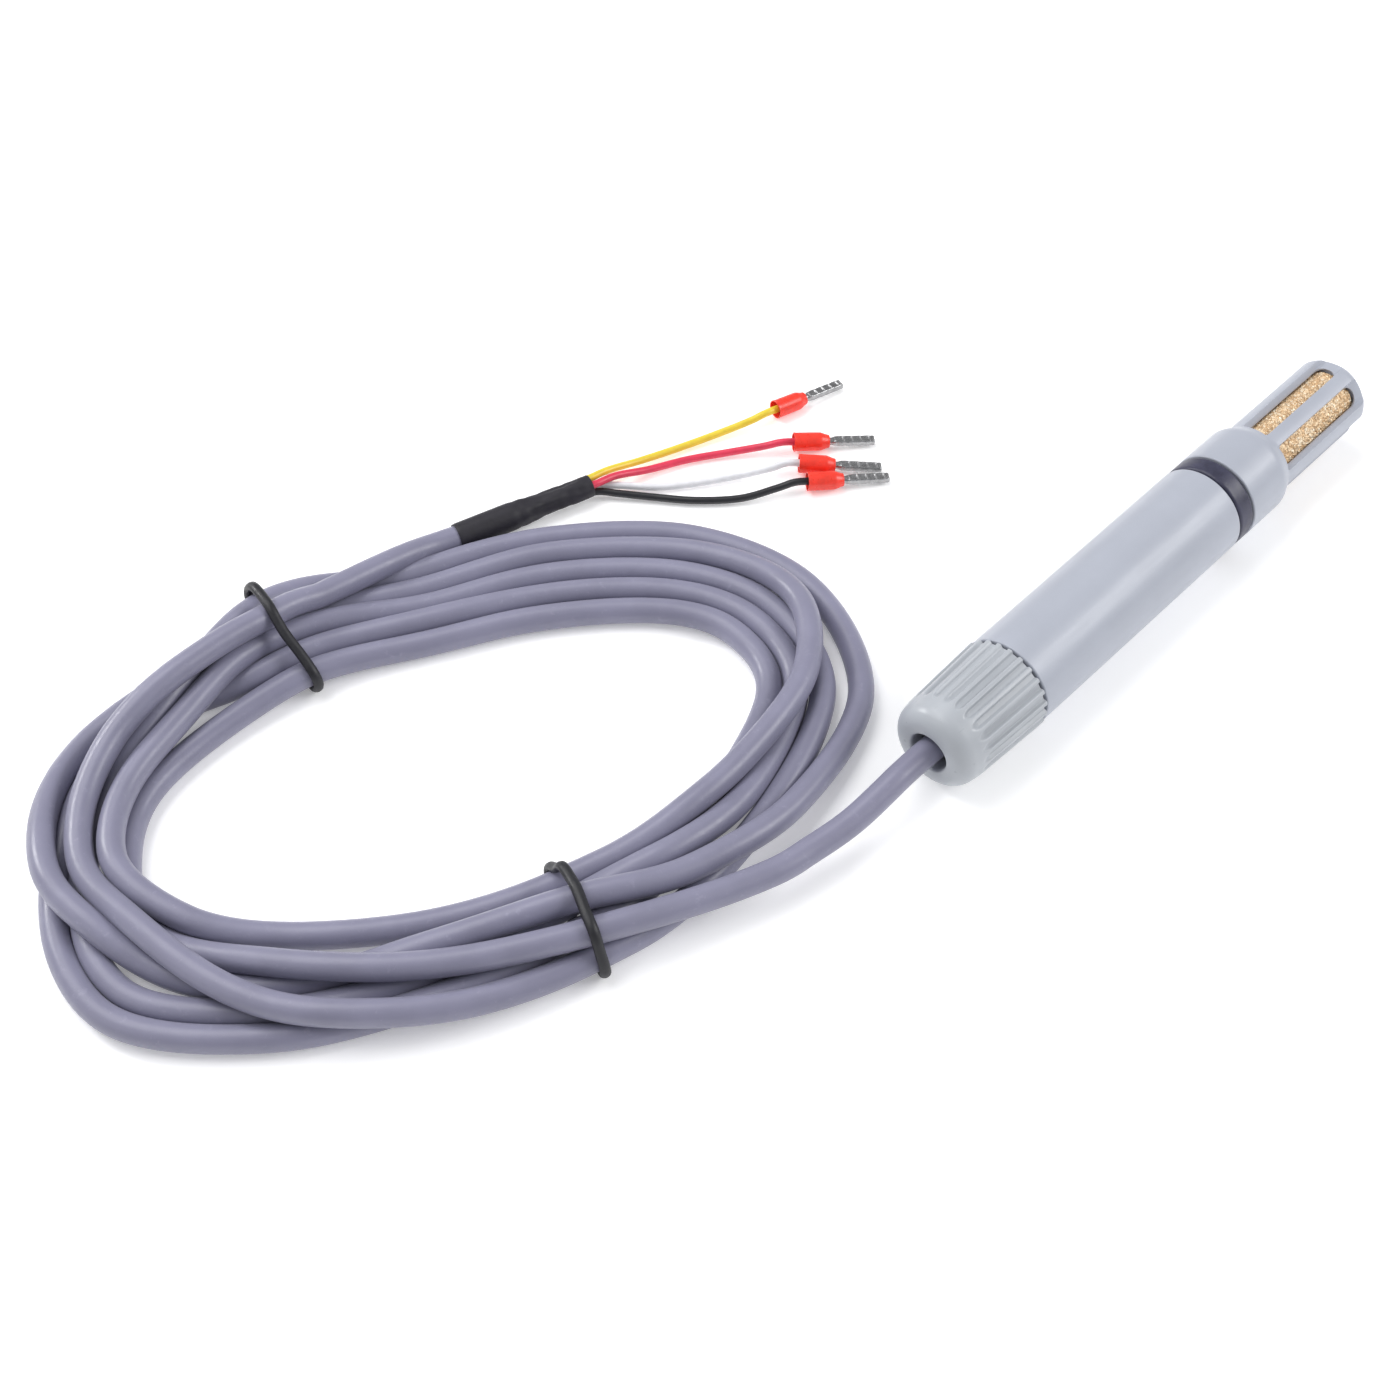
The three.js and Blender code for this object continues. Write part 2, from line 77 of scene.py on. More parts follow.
SPIGOT_X = CAP_LOW[0]
CAP_START_X = SPIGOT_X + 10
SHOULDER_X = CAP_START_X + 11.3
SHOULDER_LENGTH = 2.2
TIP_X = CAP_HIGH[0]
CAGE_RADIUS = 7
CAP_BORE_RADIUS = 5.3
CAGE_BORE_RADIUS = 5.65
WINDOW_COUNT = 6
WINDOW_TURN = math.radians(10.5)
WINDOW_WIDTH = 3.6
WINDOW_LENGTH = 22
WINDOW_START_X = SHOULDER_X + 0.3
FLUTE_WIDTH = 5.2
FLUTE_RADIUS = 5.8
THREAD_PITCH = 1.5
THREAD_HEIGHT = 0.4
THREAD_TURNS = 4
RIB_COUNT = 24
GROOVE_DEPTH = 0.6
GROOVE_START_X = NOSE_X + 4.2
GROOVED_RADIUS = 7.2
MOUTH_RADIUS = 3.3
BEAD_PITCH = 0.42

CABLE_DIAMETER = 4.2
CABLE_RADIUS = CABLE_DIAMETER / 2
WIRE_DIAMETER = 1.3
FERRULE_LENGTH = 14.3
COLLAR_LENGTH = 6.3

# ---- camera ----

CAMERA_AZIMUTH = -46.5
CAMERA_ELEVATION = 50.5
CAMERA_DISTANCE = 341
CAMERA_TARGET = (-66, 36.5, 0)
CAMERA_LENS = 55.6
SENSOR_WIDTH = 36
CLIP_START = 0.01


def linked(name, data):
    """A new object in the scene."""
    made = bpy.data.objects.new(name, data)
    bpy.context.scene.collection.objects.link(made)
    return made


def direction(azimuth, elevation):
    """Unit vector from the object towards a viewer; azimuth 0 stands on the -Y side."""
    a, e = math.radians(azimuth), math.radians(elevation)
    return Vector((math.sin(a) * math.cos(e), -math.cos(a) * math.cos(e), math.sin(e)))


def look_from(thing, azimuth, elevation, distance):
    """Stands a camera or lamp off from the middle of the view, in millimetres, and faces it there."""
    back = direction(azimuth, elevation)
    thing.location = (Vector(CAMERA_TARGET) + back * distance) * MM
    thing.rotation_euler = (-back).to_track_quat("-Z", "Y").to_euler()


def make_camera():
    """The view of the object from above its left front."""
    camera = linked("camera", bpy.data.cameras.new("camera"))
    look_from(camera, CAMERA_AZIMUTH, CAMERA_ELEVATION, CAMERA_DISTANCE)
    camera.data.lens = CAMERA_LENS
    camera.data.sensor_width = SENSOR_WIDTH
    camera.data.clip_start = CLIP_START
    bpy.context.scene.camera = camera


make_camera()

# ---- materials ----


def srgb(red, green, blue):
    """A colour of the 0-255 scale as the shader's linear values."""
    values = [v / 255 for v in (red, green, blue)]
    return [v / 12.92 if v <= 0.04045 else ((v + 0.055) / 1.055) ** 2.4 for v in values] + [1]


# The colour sockets of Blender's Mix node, which share their names with its other types.
MIX_FACTOR = 0
MIX_FIRST = 6
MIX_SECOND = 7
MIX_RESULT = 2


class Finish:
    """A material whose textures are laid in the object's own coordinates."""

    def __init__(self, name, **sockets):
        self.material = bpy.data.materials.new(name)
        self.material.use_nodes = True
        self.tree = self.material.node_tree
        self.shader = self.tree.nodes["Principled BSDF"]
        self.place = self.tree.nodes.new("ShaderNodeTexCoord").outputs["Object"]
        for socket, value in sockets.items():
            self.shader.inputs[socket.replace("_", " ")].default_value = value

    def node(self, kind, **links):
        """A node whose inputs are linked to sockets or set to plain values."""
        made = self.tree.nodes.new(kind)
        for socket, value in links.items():
            target = made.inputs[socket.replace("_", " ")]
            if isinstance(value, bpy.types.NodeSocket):
                self.tree.links.new(value, target)
            else:
                target.default_value = value
        return made

    def stretched(self, x, y, z):
        """The object's coordinates scaled along each axis, to draw a texture out into streaks."""
        mapping = self.node("ShaderNodeMapping", Vector=self.place)
        mapping.inputs["Scale"].default_value = (x, y, z)
        return mapping.outputs["Vector"]

    def noise(self, size, detail=3, roughness=0.55, place=None):
        """Noise whose features are about size millimetres across, from 0 to 1."""
        made = self.node("ShaderNodeTexNoise", Vector=place or self.place, Scale=1 / (size * MM))
        made.inputs["Detail"].default_value = detail
        made.inputs["Roughness"].default_value = roughness
        return made.outputs["Fac"]

    def cells(self, size, output="Distance"):
        """Cells about size millimetres across: distance from their middles, or their own colours."""
        made = self.node("ShaderNodeTexVoronoi", Vector=self.place, Scale=1 / (size * MM))
        return made.outputs[output]

    def ramp(self, factor, *stops):
        """A colour read off (place, colour) stops by the factor."""
        made = self.node("ShaderNodeValToRGB", Fac=factor)
        band = made.color_ramp
        while len(band.elements) < len(stops):
            band.elements.new(0.5)
        for element, (place, colour) in zip(band.elements, stops):
            element.position = place
            element.color = colour
        return made.outputs["Color"]

    def tones(self, factor, colour, dark, pale, start=0.3, end=0.7):
        """From a darker to a paler shade of the colour, as the factor goes from start to end."""
        return self.ramp(factor, (start, shade(colour, dark)), (end, shade(colour, pale)))

    def levels(self, factor, low, high, start=0.3, end=0.7):
        """The factor's stretch from start to end, spread from low to high."""
        made = self.node("ShaderNodeMapRange", Value=factor)
        made.inputs["From Min"].default_value = start
        made.inputs["From Max"].default_value = end
        made.inputs["To Min"].default_value = low
        made.inputs["To Max"].default_value = high
        return made.outputs["Result"]

    def mixed(self, factor, first, second):
        """One colour over another, as far as the factor says."""
        made = self.tree.nodes.new("ShaderNodeMix")
        made.data_type = "RGBA"
        for socket, value in ((MIX_FACTOR, factor), (MIX_FIRST, first), (MIX_SECOND, second)):
            if isinstance(value, bpy.types.NodeSocket):
                self.tree.links.new(value, made.inputs[socket])
            else:
                made.inputs[socket].default_value = value
        return made.outputs[MIX_RESULT]

    def drive(self, socket, value):
        """Feeds a texture into one of the shader's own sockets."""
        self.tree.links.new(value, self.shader.inputs[socket])

    def relief(self, *layers):
        """Bumps, each a height texture and its depth in millimetres, one on top of the other."""
        normal = None
        for height, depth in layers:
            bump = self.node("ShaderNodeBump", Height=height)
            bump.inputs["Distance"].default_value = depth * MM
            if normal:
                self.tree.links.new(normal, bump.inputs["Normal"])
            normal = bump.outputs["Normal"]
        self.drive("Normal", normal)


def shade(colour, factor):
    """The colour made darker or paler."""
    return [c * factor for c in colour[:3]] + [1]


def moulded_plastic(name, colour, gloss, grain=0.3):
    """Satin moulded plastic: faint clouding, a fine grain, rubbed streaks and paler worn edges."""
    finish = Finish(name, IOR=1.46)
    clouds = finish.noise(14, 4)
    streaks = finish.noise(0.8, 3, place=finish.stretched(0.06, 1, 1))
    tone = finish.tones(clouds, colour, 0.95, 1.04)
    edges = finish.tree.nodes.new("ShaderNodeNewGeometry").outputs["Pointiness"]
    worn = finish.levels(edges, 0, 0.35, 0.53, 0.62)
    finish.drive("Base Color", finish.mixed(worn, tone, shade(colour, 1.25)))
    finish.drive("Roughness", finish.levels(streaks, gloss - 0.05, gloss + 0.07))
    finish.relief((finish.noise(grain, 2), 0.012), (clouds, 0.05))
    return finish.material


def cable_jacket():
    """Soft PVC: fine grain, slight mottling and small scuffs."""
    colour = srgb(128, 127, 148)
    finish = Finish("jacket_pvc", IOR=1.5)
    mottle = finish.noise(9, 4)
    scuffs = finish.noise(1.6, 5, 0.7)
    tone = finish.tones(mottle, colour, 0.93, 1.06, 0.32, 0.68)
    rubbed = finish.levels(scuffs, 0, 0.22, 0.6, 0.72)
    finish.drive("Base Color", finish.mixed(rubbed, tone, srgb(168, 167, 190)))
    finish.drive("Roughness", finish.levels(scuffs, 0.32, 0.45))
    finish.shader.inputs["Sheen Weight"].default_value = 0.08
    finish.relief((finish.noise(0.35, 3), 0.02), (finish.noise(3.5, 2), 0.06))
    return finish.material


def rubber(name, colour, gloss):
    """Matt rubber or soft plastic with a paler bloom."""
    finish = Finish(name, IOR=1.48)
    bloom = finish.noise(2.5, 5, 0.65)
    finish.drive("Base Color", finish.tones(bloom, colour, 1, 1.7, 0.35, 0.75))
    finish.drive("Roughness", finish.levels(bloom, gloss - 0.06, gloss + 0.1))
    finish.relief((finish.noise(0.22, 3), 0.02), (finish.noise(1.4, 2), 0.04))
    return finish.material


def sintered_bronze():
    """Bronze beads fused together: each bead has its own tint, with painted shade darkening the pores
    between them.
    """
    finish = Finish("sintered_bronze", Metallic=0.3)
    beads = finish.cells(BEAD_PITCH, "Color")
    split = finish.node("ShaderNodeSeparateColor", Color=beads)
    tint = finish.ramp(
        split.outputs["Red"],
        (0.0, srgb(206, 168, 124)),
        (0.45, srgb(234, 204, 164)),
        (0.8, srgb(245, 222, 188)),
        (1.0, srgb(253, 242, 220)),
    )
    # Painted shade: the colour darkens towards the gaps between the beads, where shade would fall.
    pore_shade = finish.levels(finish.cells(BEAD_PITCH), 0, 0.55, 0.45, 0.75)
    finish.drive("Base Color", finish.mixed(pore_shade, tint, srgb(160, 124, 88)))
    finish.drive("Roughness", finish.levels(split.outputs["Green"], 0.32, 0.62, 0, 1))
    finish.relief((finish.noise(0.18, 2), 0.03))
    return finish.material


def insulation(name, colour):
    """Thin PVC of a single wire, with a soft gloss."""
    finish = Finish(name, IOR=1.5)
    mottle = finish.noise(3, 3)
    finish.drive("Base Color", finish.tones(mottle, colour, 0.9, 1.08))
    finish.drive("Roughness", finish.levels(finish.noise(0.7, 3), 0.28, 0.42))
    finish.relief((finish.noise(0.3, 2), 0.012), (mottle, 0.04))
    return finish.material


def ferrule_collar_plastic():
    """Red polypropylene that lets a little light through."""
    colour = srgb(238, 60, 44)
    finish = Finish("ferrule_red", IOR=1.49, Subsurface_Weight=0.25, Subsurface_Scale=0.0006)
    finish.shader.inputs["Subsurface Radius"].default_value = (1, 0.25, 0.15)
    finish.drive("Base Color", finish.tones(finish.noise(1.8, 3), colour, 0.88, 1.12))
    finish.drive("Roughness", finish.levels(finish.noise(0.5, 3), 0.26, 0.4))
    finish.relief((finish.noise(0.25, 2), 0.012))
    return finish.material


def tinned_metal(name, colour):
    """Tin plate with drawn scratches and duller patches."""
    finish = Finish(name, Metallic=1)
    patches = finish.noise(0.9, 4)
    scratches = finish.noise(0.15, 4, place=finish.stretched(0.2, 1, 1))
    finish.drive("Base Color", finish.tones(patches, colour, 0.8, 1.1))
    finish.drive("Roughness", finish.levels(scratches, 0.2, 0.42))
    finish.relief((scratches, 0.01))
    return finish.material


def circuit_board():
    """Green solder mask over fine copper tracks."""
    finish = Finish("board_mask", Coat_Weight=0.3)
    tracks = finish.node("ShaderNodeTexBrick", Vector=finish.place, Scale=1 / (2.4 * MM))
    tracks.inputs["Color1"].default_value = srgb(24, 96, 52)
    tracks.inputs["Color2"].default_value = srgb(20, 84, 46)
    tracks.inputs["Mortar"].default_value = srgb(66, 140, 78)
    tracks.inputs["Mortar Size"].default_value = 0.05
    finish.drive("Base Color", tracks.outputs["Color"])
    finish.drive("Roughness", finish.levels(finish.noise(0.6, 3), 0.28, 0.42))
    finish.relief((tracks.outputs["Fac"], 0.03))
    return finish.material


def speckled(name, colour, size, gloss):
    """Moulded epoxy or fired ceramic with a fine speckle."""
    finish = Finish(name)
    grains = finish.noise(size, 4, 0.7)
    finish.drive("Base Color", finish.tones(grains, colour, 0.8, 1.25, 0.35, 0.7))
    finish.drive("Roughness", finish.levels(grains, gloss - 0.08, gloss + 0.08))
    finish.relief((grains, 0.01))
    return finish.material


HOUSING = moulded_plastic("housing_plastic", srgb(167, 171, 182), 0.34)
NUT_GREY = moulded_plastic("nut_plastic", srgb(172, 176, 182), 0.32, grain=0.25)
NYLON = moulded_plastic("nylon", srgb(226, 226, 220), 0.4)
JACKET = cable_jacket()
TIE_RUBBER = rubber("tie_rubber", srgb(25, 25, 30), 0.45)
SEAL_RUBBER = rubber("seal_rubber", srgb(40, 40, 46), 0.6)
RING_RUBBER = rubber("ring_rubber", srgb(48, 48, 66), 0.4)
SLEEVE_BLACK = rubber("sleeve_polyolefin", srgb(25, 23, 31), 0.55)
BRONZE = sintered_bronze()
COLLAR_RED = ferrule_collar_plastic()
TINNED = tinned_metal("tin_plate", srgb(168, 168, 169))
BOARD = circuit_board()
CHIP = speckled("chip_epoxy", srgb(26, 26, 29), 0.15, 0.5)
CERAMIC = speckled("capacitor_ceramic", srgb(184, 154, 112), 0.3, 0.45)
WIRE_FINISHES = {
    "yellow": insulation("wire_yellow", srgb(228, 203, 62)),
    "red": insulation("wire_red", srgb(216, 56, 84)),
    "white": insulation("wire_white", srgb(226, 226, 230)),
    "black": insulation("wire_black", srgb(34, 34, 38)),
}

# ---- mesh tools ----


def add_piece(name, data, body, finish, nodes):
    """Links a mesh or curve as a piece that rides on a body and stands for CAD nodes."""
    data.materials.append(finish)
    piece = linked(name, data)
    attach(piece, body)
    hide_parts(*nodes)
    return piece


def clamped(value):
    """The value held between 0 and 1."""
    return min(max(value, 0), 1)


def full_circle(count):
    """That many angles, in radians, evenly round a circle."""
    return np.arange(count) * 2 * math.pi / count


def axis_ring(x, radius, angles):
    """A ring of points about the probe's axis. The radius may differ from angle to angle."""
    return np.stack(
        [np.full(len(angles), x), radius * np.sin(angles), AXIS_Z + radius * np.cos(angles)], axis=1
    )


def loft(rings, closed=False):
    """A mesh through rings of points, in millimetres. Open ends get a fan to their middle."""
    rings = np.asarray(rings, float)
    count, sides = rings.shape[:2]
    points = rings.reshape(-1, 3)
    index = np.arange(count * sides).reshape(count, sides)
    rows = np.vstack([index, index[:1]]) if closed else index
    turned_rows = np.roll(rows, -1, axis=1)
    quads = np.stack([rows[:-1], turned_rows[:-1], turned_rows[1:], rows[1:]], axis=-1).reshape(-1, 4)
    faces = quads.tolist()
    if not closed:
        points = np.vstack([points, rings[0].mean(0), rings[-1].mean(0)])
        for row, hub, flip in ((index[0], len(points) - 2, 1), (index[-1], len(points) - 1, -1)):
            for a, b in zip(row.tolist(), np.roll(row, -1).tolist()):
                faces.append([a, b, hub][::flip])
    return points, faces


def mesh_of(name, *parts):
    """One smooth-shaded mesh from (points, faces) parts, with its faces turned outward."""
    mesh = bpy.data.meshes.new(name)
    points, faces, start = [], [], 0
    for part_points, part_faces in parts:
        points += (np.asarray(part_points) * MM).tolist()
        faces += [[start + i for i in face] for face in part_faces]
        start = len(points)
    mesh.from_pydata(points, [], faces)
    work = bmesh.new()
    work.from_mesh(mesh)
    bmesh.ops.remove_doubles(work, verts=work.verts, dist=1e-7)
    bmesh.ops.recalc_face_normals(work, faces=work.faces)
    for face in work.faces:
        face.smooth = True
    work.to_mesh(mesh)
    work.free()
    return mesh


def solid(name, node, body, finish, slot, *parts):
    """A piece made of (points, faces) parts that stands for one CAD node."""
    return add_piece(name, mesh_of(name, *parts), body, finish, (node,))


def weigh_normals(piece):
    """Keeps the wide faces flat-looking, so that only the rounded edges turn the light."""
    piece.modifiers.new("even_normals", "WEIGHTED_NORMAL").keep_sharp = False
    return piece


def soften_edges(piece, width, segments, sharp_angle):
    """Rounds the edges that turn by more than the angle, in degrees."""
    ease = piece.modifiers.new("soft_edges", "BEVEL")
    ease.width = width * MM
    ease.segments = segments
    ease.limit_method = "ANGLE"
    ease.angle_limit = math.radians(sharp_angle)


def rounded(corners, closed=True, steps=6):
    """An (x, radius) outline whose corners, given as (x, radius, rounding), are eased."""
    outline = []
    for i, (x, radius, ease) in enumerate(corners):
        here = np.array((x, radius), float)
        if ease == 0 or (not closed and i in (0, len(corners) - 1)):
            outline.append(here)
            continue
        before = np.array(corners[i - 1][:2]) - here
        after = np.array(corners[(i + 1) % len(corners)][:2]) - here
        start = here + before * min(ease / np.linalg.norm(before), 0.45)
        end = here + after * min(ease / np.linalg.norm(after), 0.45)
        for t in np.linspace(0, 1, steps):
            outline.append((1 - t) ** 2 * start + 2 * t * (1 - t) * here + t**2 * end)
    return np.array(outline)


def turned(outline, sides, closed=True, relief=None):
    """A solid turned about the probe's axis. relief(x, radius, angles) gives a carved radius."""
    angles = full_circle(sides)
    rings = []
    for x, radius in outline:
        carved = relief(x, radius, angles) if relief else radius
        rings.append(axis_ring(x, carved, angles))
    return loft(rings, closed)


def thread_ridge(start_x, radius):
    """A rounded male thread that runs out at both ends."""
    steps = THREAD_TURNS * 40
    half_width = 0.36
    sunk = 0.05
    section = full_circle(8)
    rings = []
    for t in np.linspace(0, 1, steps + 1):
        angle = 2 * math.pi * THREAD_TURNS * t
        fade = min(1, 12 * t, 12 * (1 - t))
        height = THREAD_HEIGHT * fade * np.cos(section)
        ring_radius = radius - sunk + height
        x = start_x + THREAD_PITCH * THREAD_TURNS * t + half_width * np.sin(section)
        ring = [x, ring_radius * math.sin(angle), AXIS_Z + ring_radius * math.cos(angle)]
        rings.append(np.stack(ring, axis=1))
    return loft(rings)


def catmull_rom(points, steps):
    """A smooth line through the points, with that many steps between each two."""
    points = np.array(points, float)
    padded = np.vstack([2 * points[0] - points[1], points, 2 * points[-1] - points[-2]])
    line = []
    for a, b, c, d in zip(padded, padded[1:], padded[2:], padded[3:]):
        for t in np.arange(steps) / steps:
            bend = (2 * a - 5 * b + 4 * c - d) * t**2 + (3 * b - a - 3 * c + d) * t**3
            line.append((2 * b + (c - a) * t + bend) / 2)
    line.append(points[-1])
    return np.array(line)


def distances_along(line):
    """How far each point lies from the line's start, measured along it."""
    return np.r_[0, np.cumsum(np.linalg.norm(np.diff(line, axis=0), axis=1))]


def respaced(line, count):
    """The line again as that many points, evenly spaced along it."""
    along = distances_along(line)
    places = np.linspace(0, along[-1], count)
    return np.stack([np.interp(places, along, values) for values in line.T], axis=1)


def evenly(line, step):
    """The line again with points a step apart."""
    return respaced(line, int(round(distances_along(line)[-1] / step)) + 1)


def cord_curve(name, line, diameter, faces):
    """A round cord along the line, as one open spline."""
    curve = bpy.data.curves.new(name, "CURVE")
    curve.dimensions = "3D"
    spline = curve.splines.new("POLY")
    spline.points.add(len(line) - 1)
    weighted = np.hstack([line * MM, np.ones((len(line), 1))])
    spline.points.foreach_set("co", weighted.astype(np.float32).ravel())
    spline.use_smooth = True
    curve.bevel_depth = diameter / 2 * MM
    curve.bevel_resolution = faces
    curve.use_fill_caps = True
    return curve


# ---- cable: lead, coil and tail ----

LEAD_ROUTE = [
    (-29.3, 0, 8.25), (-36, 0, 8.25), (-44, 0, 8.25), (-51, 0.05, 8.2), (-55, 0.3, 8),
    (-58.5, 0.5, 7.7), (-63, 0.55, 7.35), (-71, 1, 6.7), (-79, 2.4, 6.3), (-85, 3.6, 6.3),
    (-97.5, 8.3, 6.2),
]
TAIL_ROUTE = [
    (-97.1, 91.8, 6.9), (-92.3, 91.3, 6.3), (-87.3, 90.9, 5.6), (-82.7, 90.6, 4.8), (-78.8, 90.3, 4),
    (-75.2, 90, 3), (-72.6, 89.35, 2.65), (-70.3, 88.7, 2.45), (-65, 87.06, 2.45),
]

# The middle line of the coil, clockwise from the lower tie as seen from above.
COIL_OUTLINE = [
    (-109.5, 19.5), (-129, 28.5), (-146, 41.5), (-156.5, 58), (-154, 77), (-136, 89), (-105.5, 91),
    (-83, 82), (-65, 70.5), (-50, 55.5), (-45.5, 39.5), (-53.5, 24), (-74, 16.5), (-93, 15.5),
]
LOWER_TIE = 0
UPPER_TIE = 6

# How each turn lies at these places of the outline: diameters outward of the middle line, and
# layers up. The turns cross where their lanes swap.
STATIONS = (0, 2, 3, 4, 5, 6, 7, 8, 9.5, 11, 12.5)
TURNS = [
    [(1.2, 1), (-0.4, 0.5), (-1.1, 0), (-1.45, 0), (-1.0, 0), (-1.3, 0), (-1.3, 0), (-1.6, 0),
     (-1.7, 0), (-1.4, 0), (-1.1, 0)],
    [(0.2, 0), (1.5, 0), (2.0, 0), (0.9, 0), (0.9, 0), (-0.3, 0), (-0.4, 0.3), (-0.5, 0),
     (-0.8, 0), (-0.6, 0), (-0.2, 0)],
    [(-0.7, 0), (0.5, 0), (1.0, 0), (-0.1, 0), (0, 0), (0.7, 0), (1.1, 0), (1.75, 0),
     (1.75, 0), (1.7, 0), (0.8, 0.4)],
    [(-0.3, 0.9), (0.2, 0.2), (0.1, 0.3), (1.0, 1), (1.9, 0.2), (1.1, 0), (0.7, 0.1), (1.25, 0.95),
     (1.0, 1), (-0.3, 1), (-0.8, 1)],
    [(-1.1, 0.8), (-1.9, 0), (-1.5, 0.6), (-0.9, 1), (-0.4, 1), (0.2, 0.8), (0.2, 0.2), (0.4, 0),
     (0.1, 0), (0.3, 0), (1.0, 0)],
    [(1.6, 0), (1.2, 1), (-0.1, 1.3), (0.15, 1.1), (0.5, 1.2), (0.3, 1.5)],
]
LAYER_RISE = 0.87
ROUTE_STEP = 2.5
TIE_LIFT = 1.2
TIE_LIFT_REACH = 9

# How the coil settles. In each round it sinks, returns a little towards its plan, and is pushed apart
# where strands touch. Points nearer than NEAREST_CONTACT along the line aren't tested for touch, and
# the HELD_POINTS at either end stay where the route puts them.
SETTLING_ROUNDS = 200
SINK_STEP = 0.12
RETURN_SHARE = 0.03
PUSH_SHARE = 1.5
NEAREST_CONTACT = 8
HELD_POINTS = 14


def outline_at(place):
    """Point of the coil's middle line and the outward direction there, by outline place."""
    count = len(COIL_OUTLINE)

    def point(u):
        i = int(math.floor(u))
        t = u - math.floor(u)
        a, b, c, d = (np.array(COIL_OUTLINE[(i + k) % count], float) for k in (-1, 0, 1, 2))
        bend = (2 * a - 5 * b + 4 * c - d) * t**2
        twist = (3 * b - a - 3 * c + d) * t**3
        return (2 * b + (c - a) * t + bend + twist) / 2

    here = point(place)
    along = point(place + 0.01) - here
    along /= np.linalg.norm(along)
    return here, np.array((-along[1], along[0]))


def eased(places, values, at):
    """A smooth curve through the values, read at one place."""
    slopes = np.gradient(values, places)
    i = min(max(np.searchsorted(places, at, side="right") - 1, 0), len(places) - 2)
    width = places[i + 1] - places[i]
    t = (at - places[i]) / width
    return (
        (2 * t**3 - 3 * t**2 + 1) * values[i]
        + (t**3 - 2 * t**2 + t) * width * slopes[i]
        + (3 * t**2 - 2 * t**3) * values[i + 1]
        + (t**3 - t**2) * width * slopes[i + 1]
    )


def coil_points():
    """The turns before they settle, one point for each place of the outline."""
    places, lanes, layers = [], [], []
    for turn, lays in enumerate(TURNS):
        for station, (lane, layer) in zip(STATIONS, lays):
            places.append(turn * len(COIL_OUTLINE) + station)
            lanes.append(lane)
            layers.append(layer)
    places, lanes, layers = (np.array(v, float) for v in (places, lanes, layers))
    points = []
    for place in range(int(places[-1]) + 1):
        middle, outward = outline_at(place % len(COIL_OUTLINE))
        x, y = middle + outward * eased(places, lanes, place) * CABLE_DIAMETER
        layer = max(eased(places, layers, place), 0)
        points.append((x, y, CABLE_RADIUS + layer * LAYER_RISE * CABLE_DIAMETER))
    return points


def softened(line, times):
    """The line with each point eased towards its neighbours, its ends left alone."""
    for _ in range(times):
        line[1:-1] = 0.25 * line[:-2] + 0.5 * line[1:-1] + 0.25 * line[2:]
    return line


def settled(plan):
    """Lets the planned line sink under its weight until its turns lie on the floor and each other."""
    count = len(plan)
    first, second = np.triu_indices(count, NEAREST_CONTACT)
    close = np.abs(plan[first, :2] - plan[second, :2]).max(axis=1) < 3 * CABLE_DIAMETER
    first, second = first[close], second[close]
    floor = np.full(count, CABLE_RADIUS)
    for place in (LOWER_TIE, UPPER_TIE):
        reach = np.linalg.norm(plan[:, :2] - COIL_OUTLINE[place], axis=1)
        lift = TIE_LIFT * np.exp(-((reach / TIE_LIFT_REACH) ** 4))
        floor = np.maximum(floor, CABLE_RADIUS + lift)
    held = np.zeros(count, bool)
    held[:HELD_POINTS] = True
    held[-HELD_POINTS:] = True
    line = plan.copy()
    for settling_round in range(SETTLING_ROUNDS):
        left = 1 - settling_round / SETTLING_ROUNDS
        moved = line.copy()
        moved[:, 2] -= SINK_STEP * left
        moved[:, :2] += (plan[:, :2] - moved[:, :2]) * RETURN_SHARE * left
        for _ in range(2):
            apart = moved[second] - moved[first]
            distance = np.linalg.norm(apart, axis=1)
            touching = distance < CABLE_DIAMETER
            i = first[touching]
            j = second[touching]
            distance = np.maximum(distance[touching], 1e-6)
            push = apart[touching] / distance[:, None] * ((CABLE_DIAMETER - distance) / 2)[:, None]
            shift = np.zeros_like(moved)
            contacts = np.zeros(count)
            np.add.at(shift, i, -push)
            np.add.at(shift, j, push)
            np.add.at(contacts, i, 1)
            np.add.at(contacts, j, 1)
            moved += shift / np.maximum(contacts, 1)[:, None] * PUSH_SHARE
            moved[:, 2] = np.maximum(moved[:, 2], CABLE_RADIUS)
        line = plan + softened(moved - plan, 4 if left > 0.15 else 1)
        line[:, 2] = np.maximum(line[:, 2], floor)
        line[held] = plan[held]
    return line


def cable_line():
    """The cable's whole middle line, from inside the gland to inside the sleeve."""
    route = LEAD_ROUTE + coil_points() + TAIL_ROUTE
    return settled(evenly(catmull_rom(route, 8), ROUTE_STEP))


CABLE_LINE = cable_line()
CABLE = add_piece(
    "sensor_cable",
    cord_curve("sensor_cable", catmull_rom(CABLE_LINE, 2), CABLE_DIAMETER, faces=7),
    "housing",
    JACKET,
    ("cable_lead", "cable_coil", "cable_tail"),
)

# ---- ties ----

TIE_THICKNESS = 1.3
TIE_WIDTH = 1.7
TIE_GAP = 0.05
TIE_WANDER = 0.35
ARCH_HEIGHT = 1.5
ARCH_SPREAD = 0.3


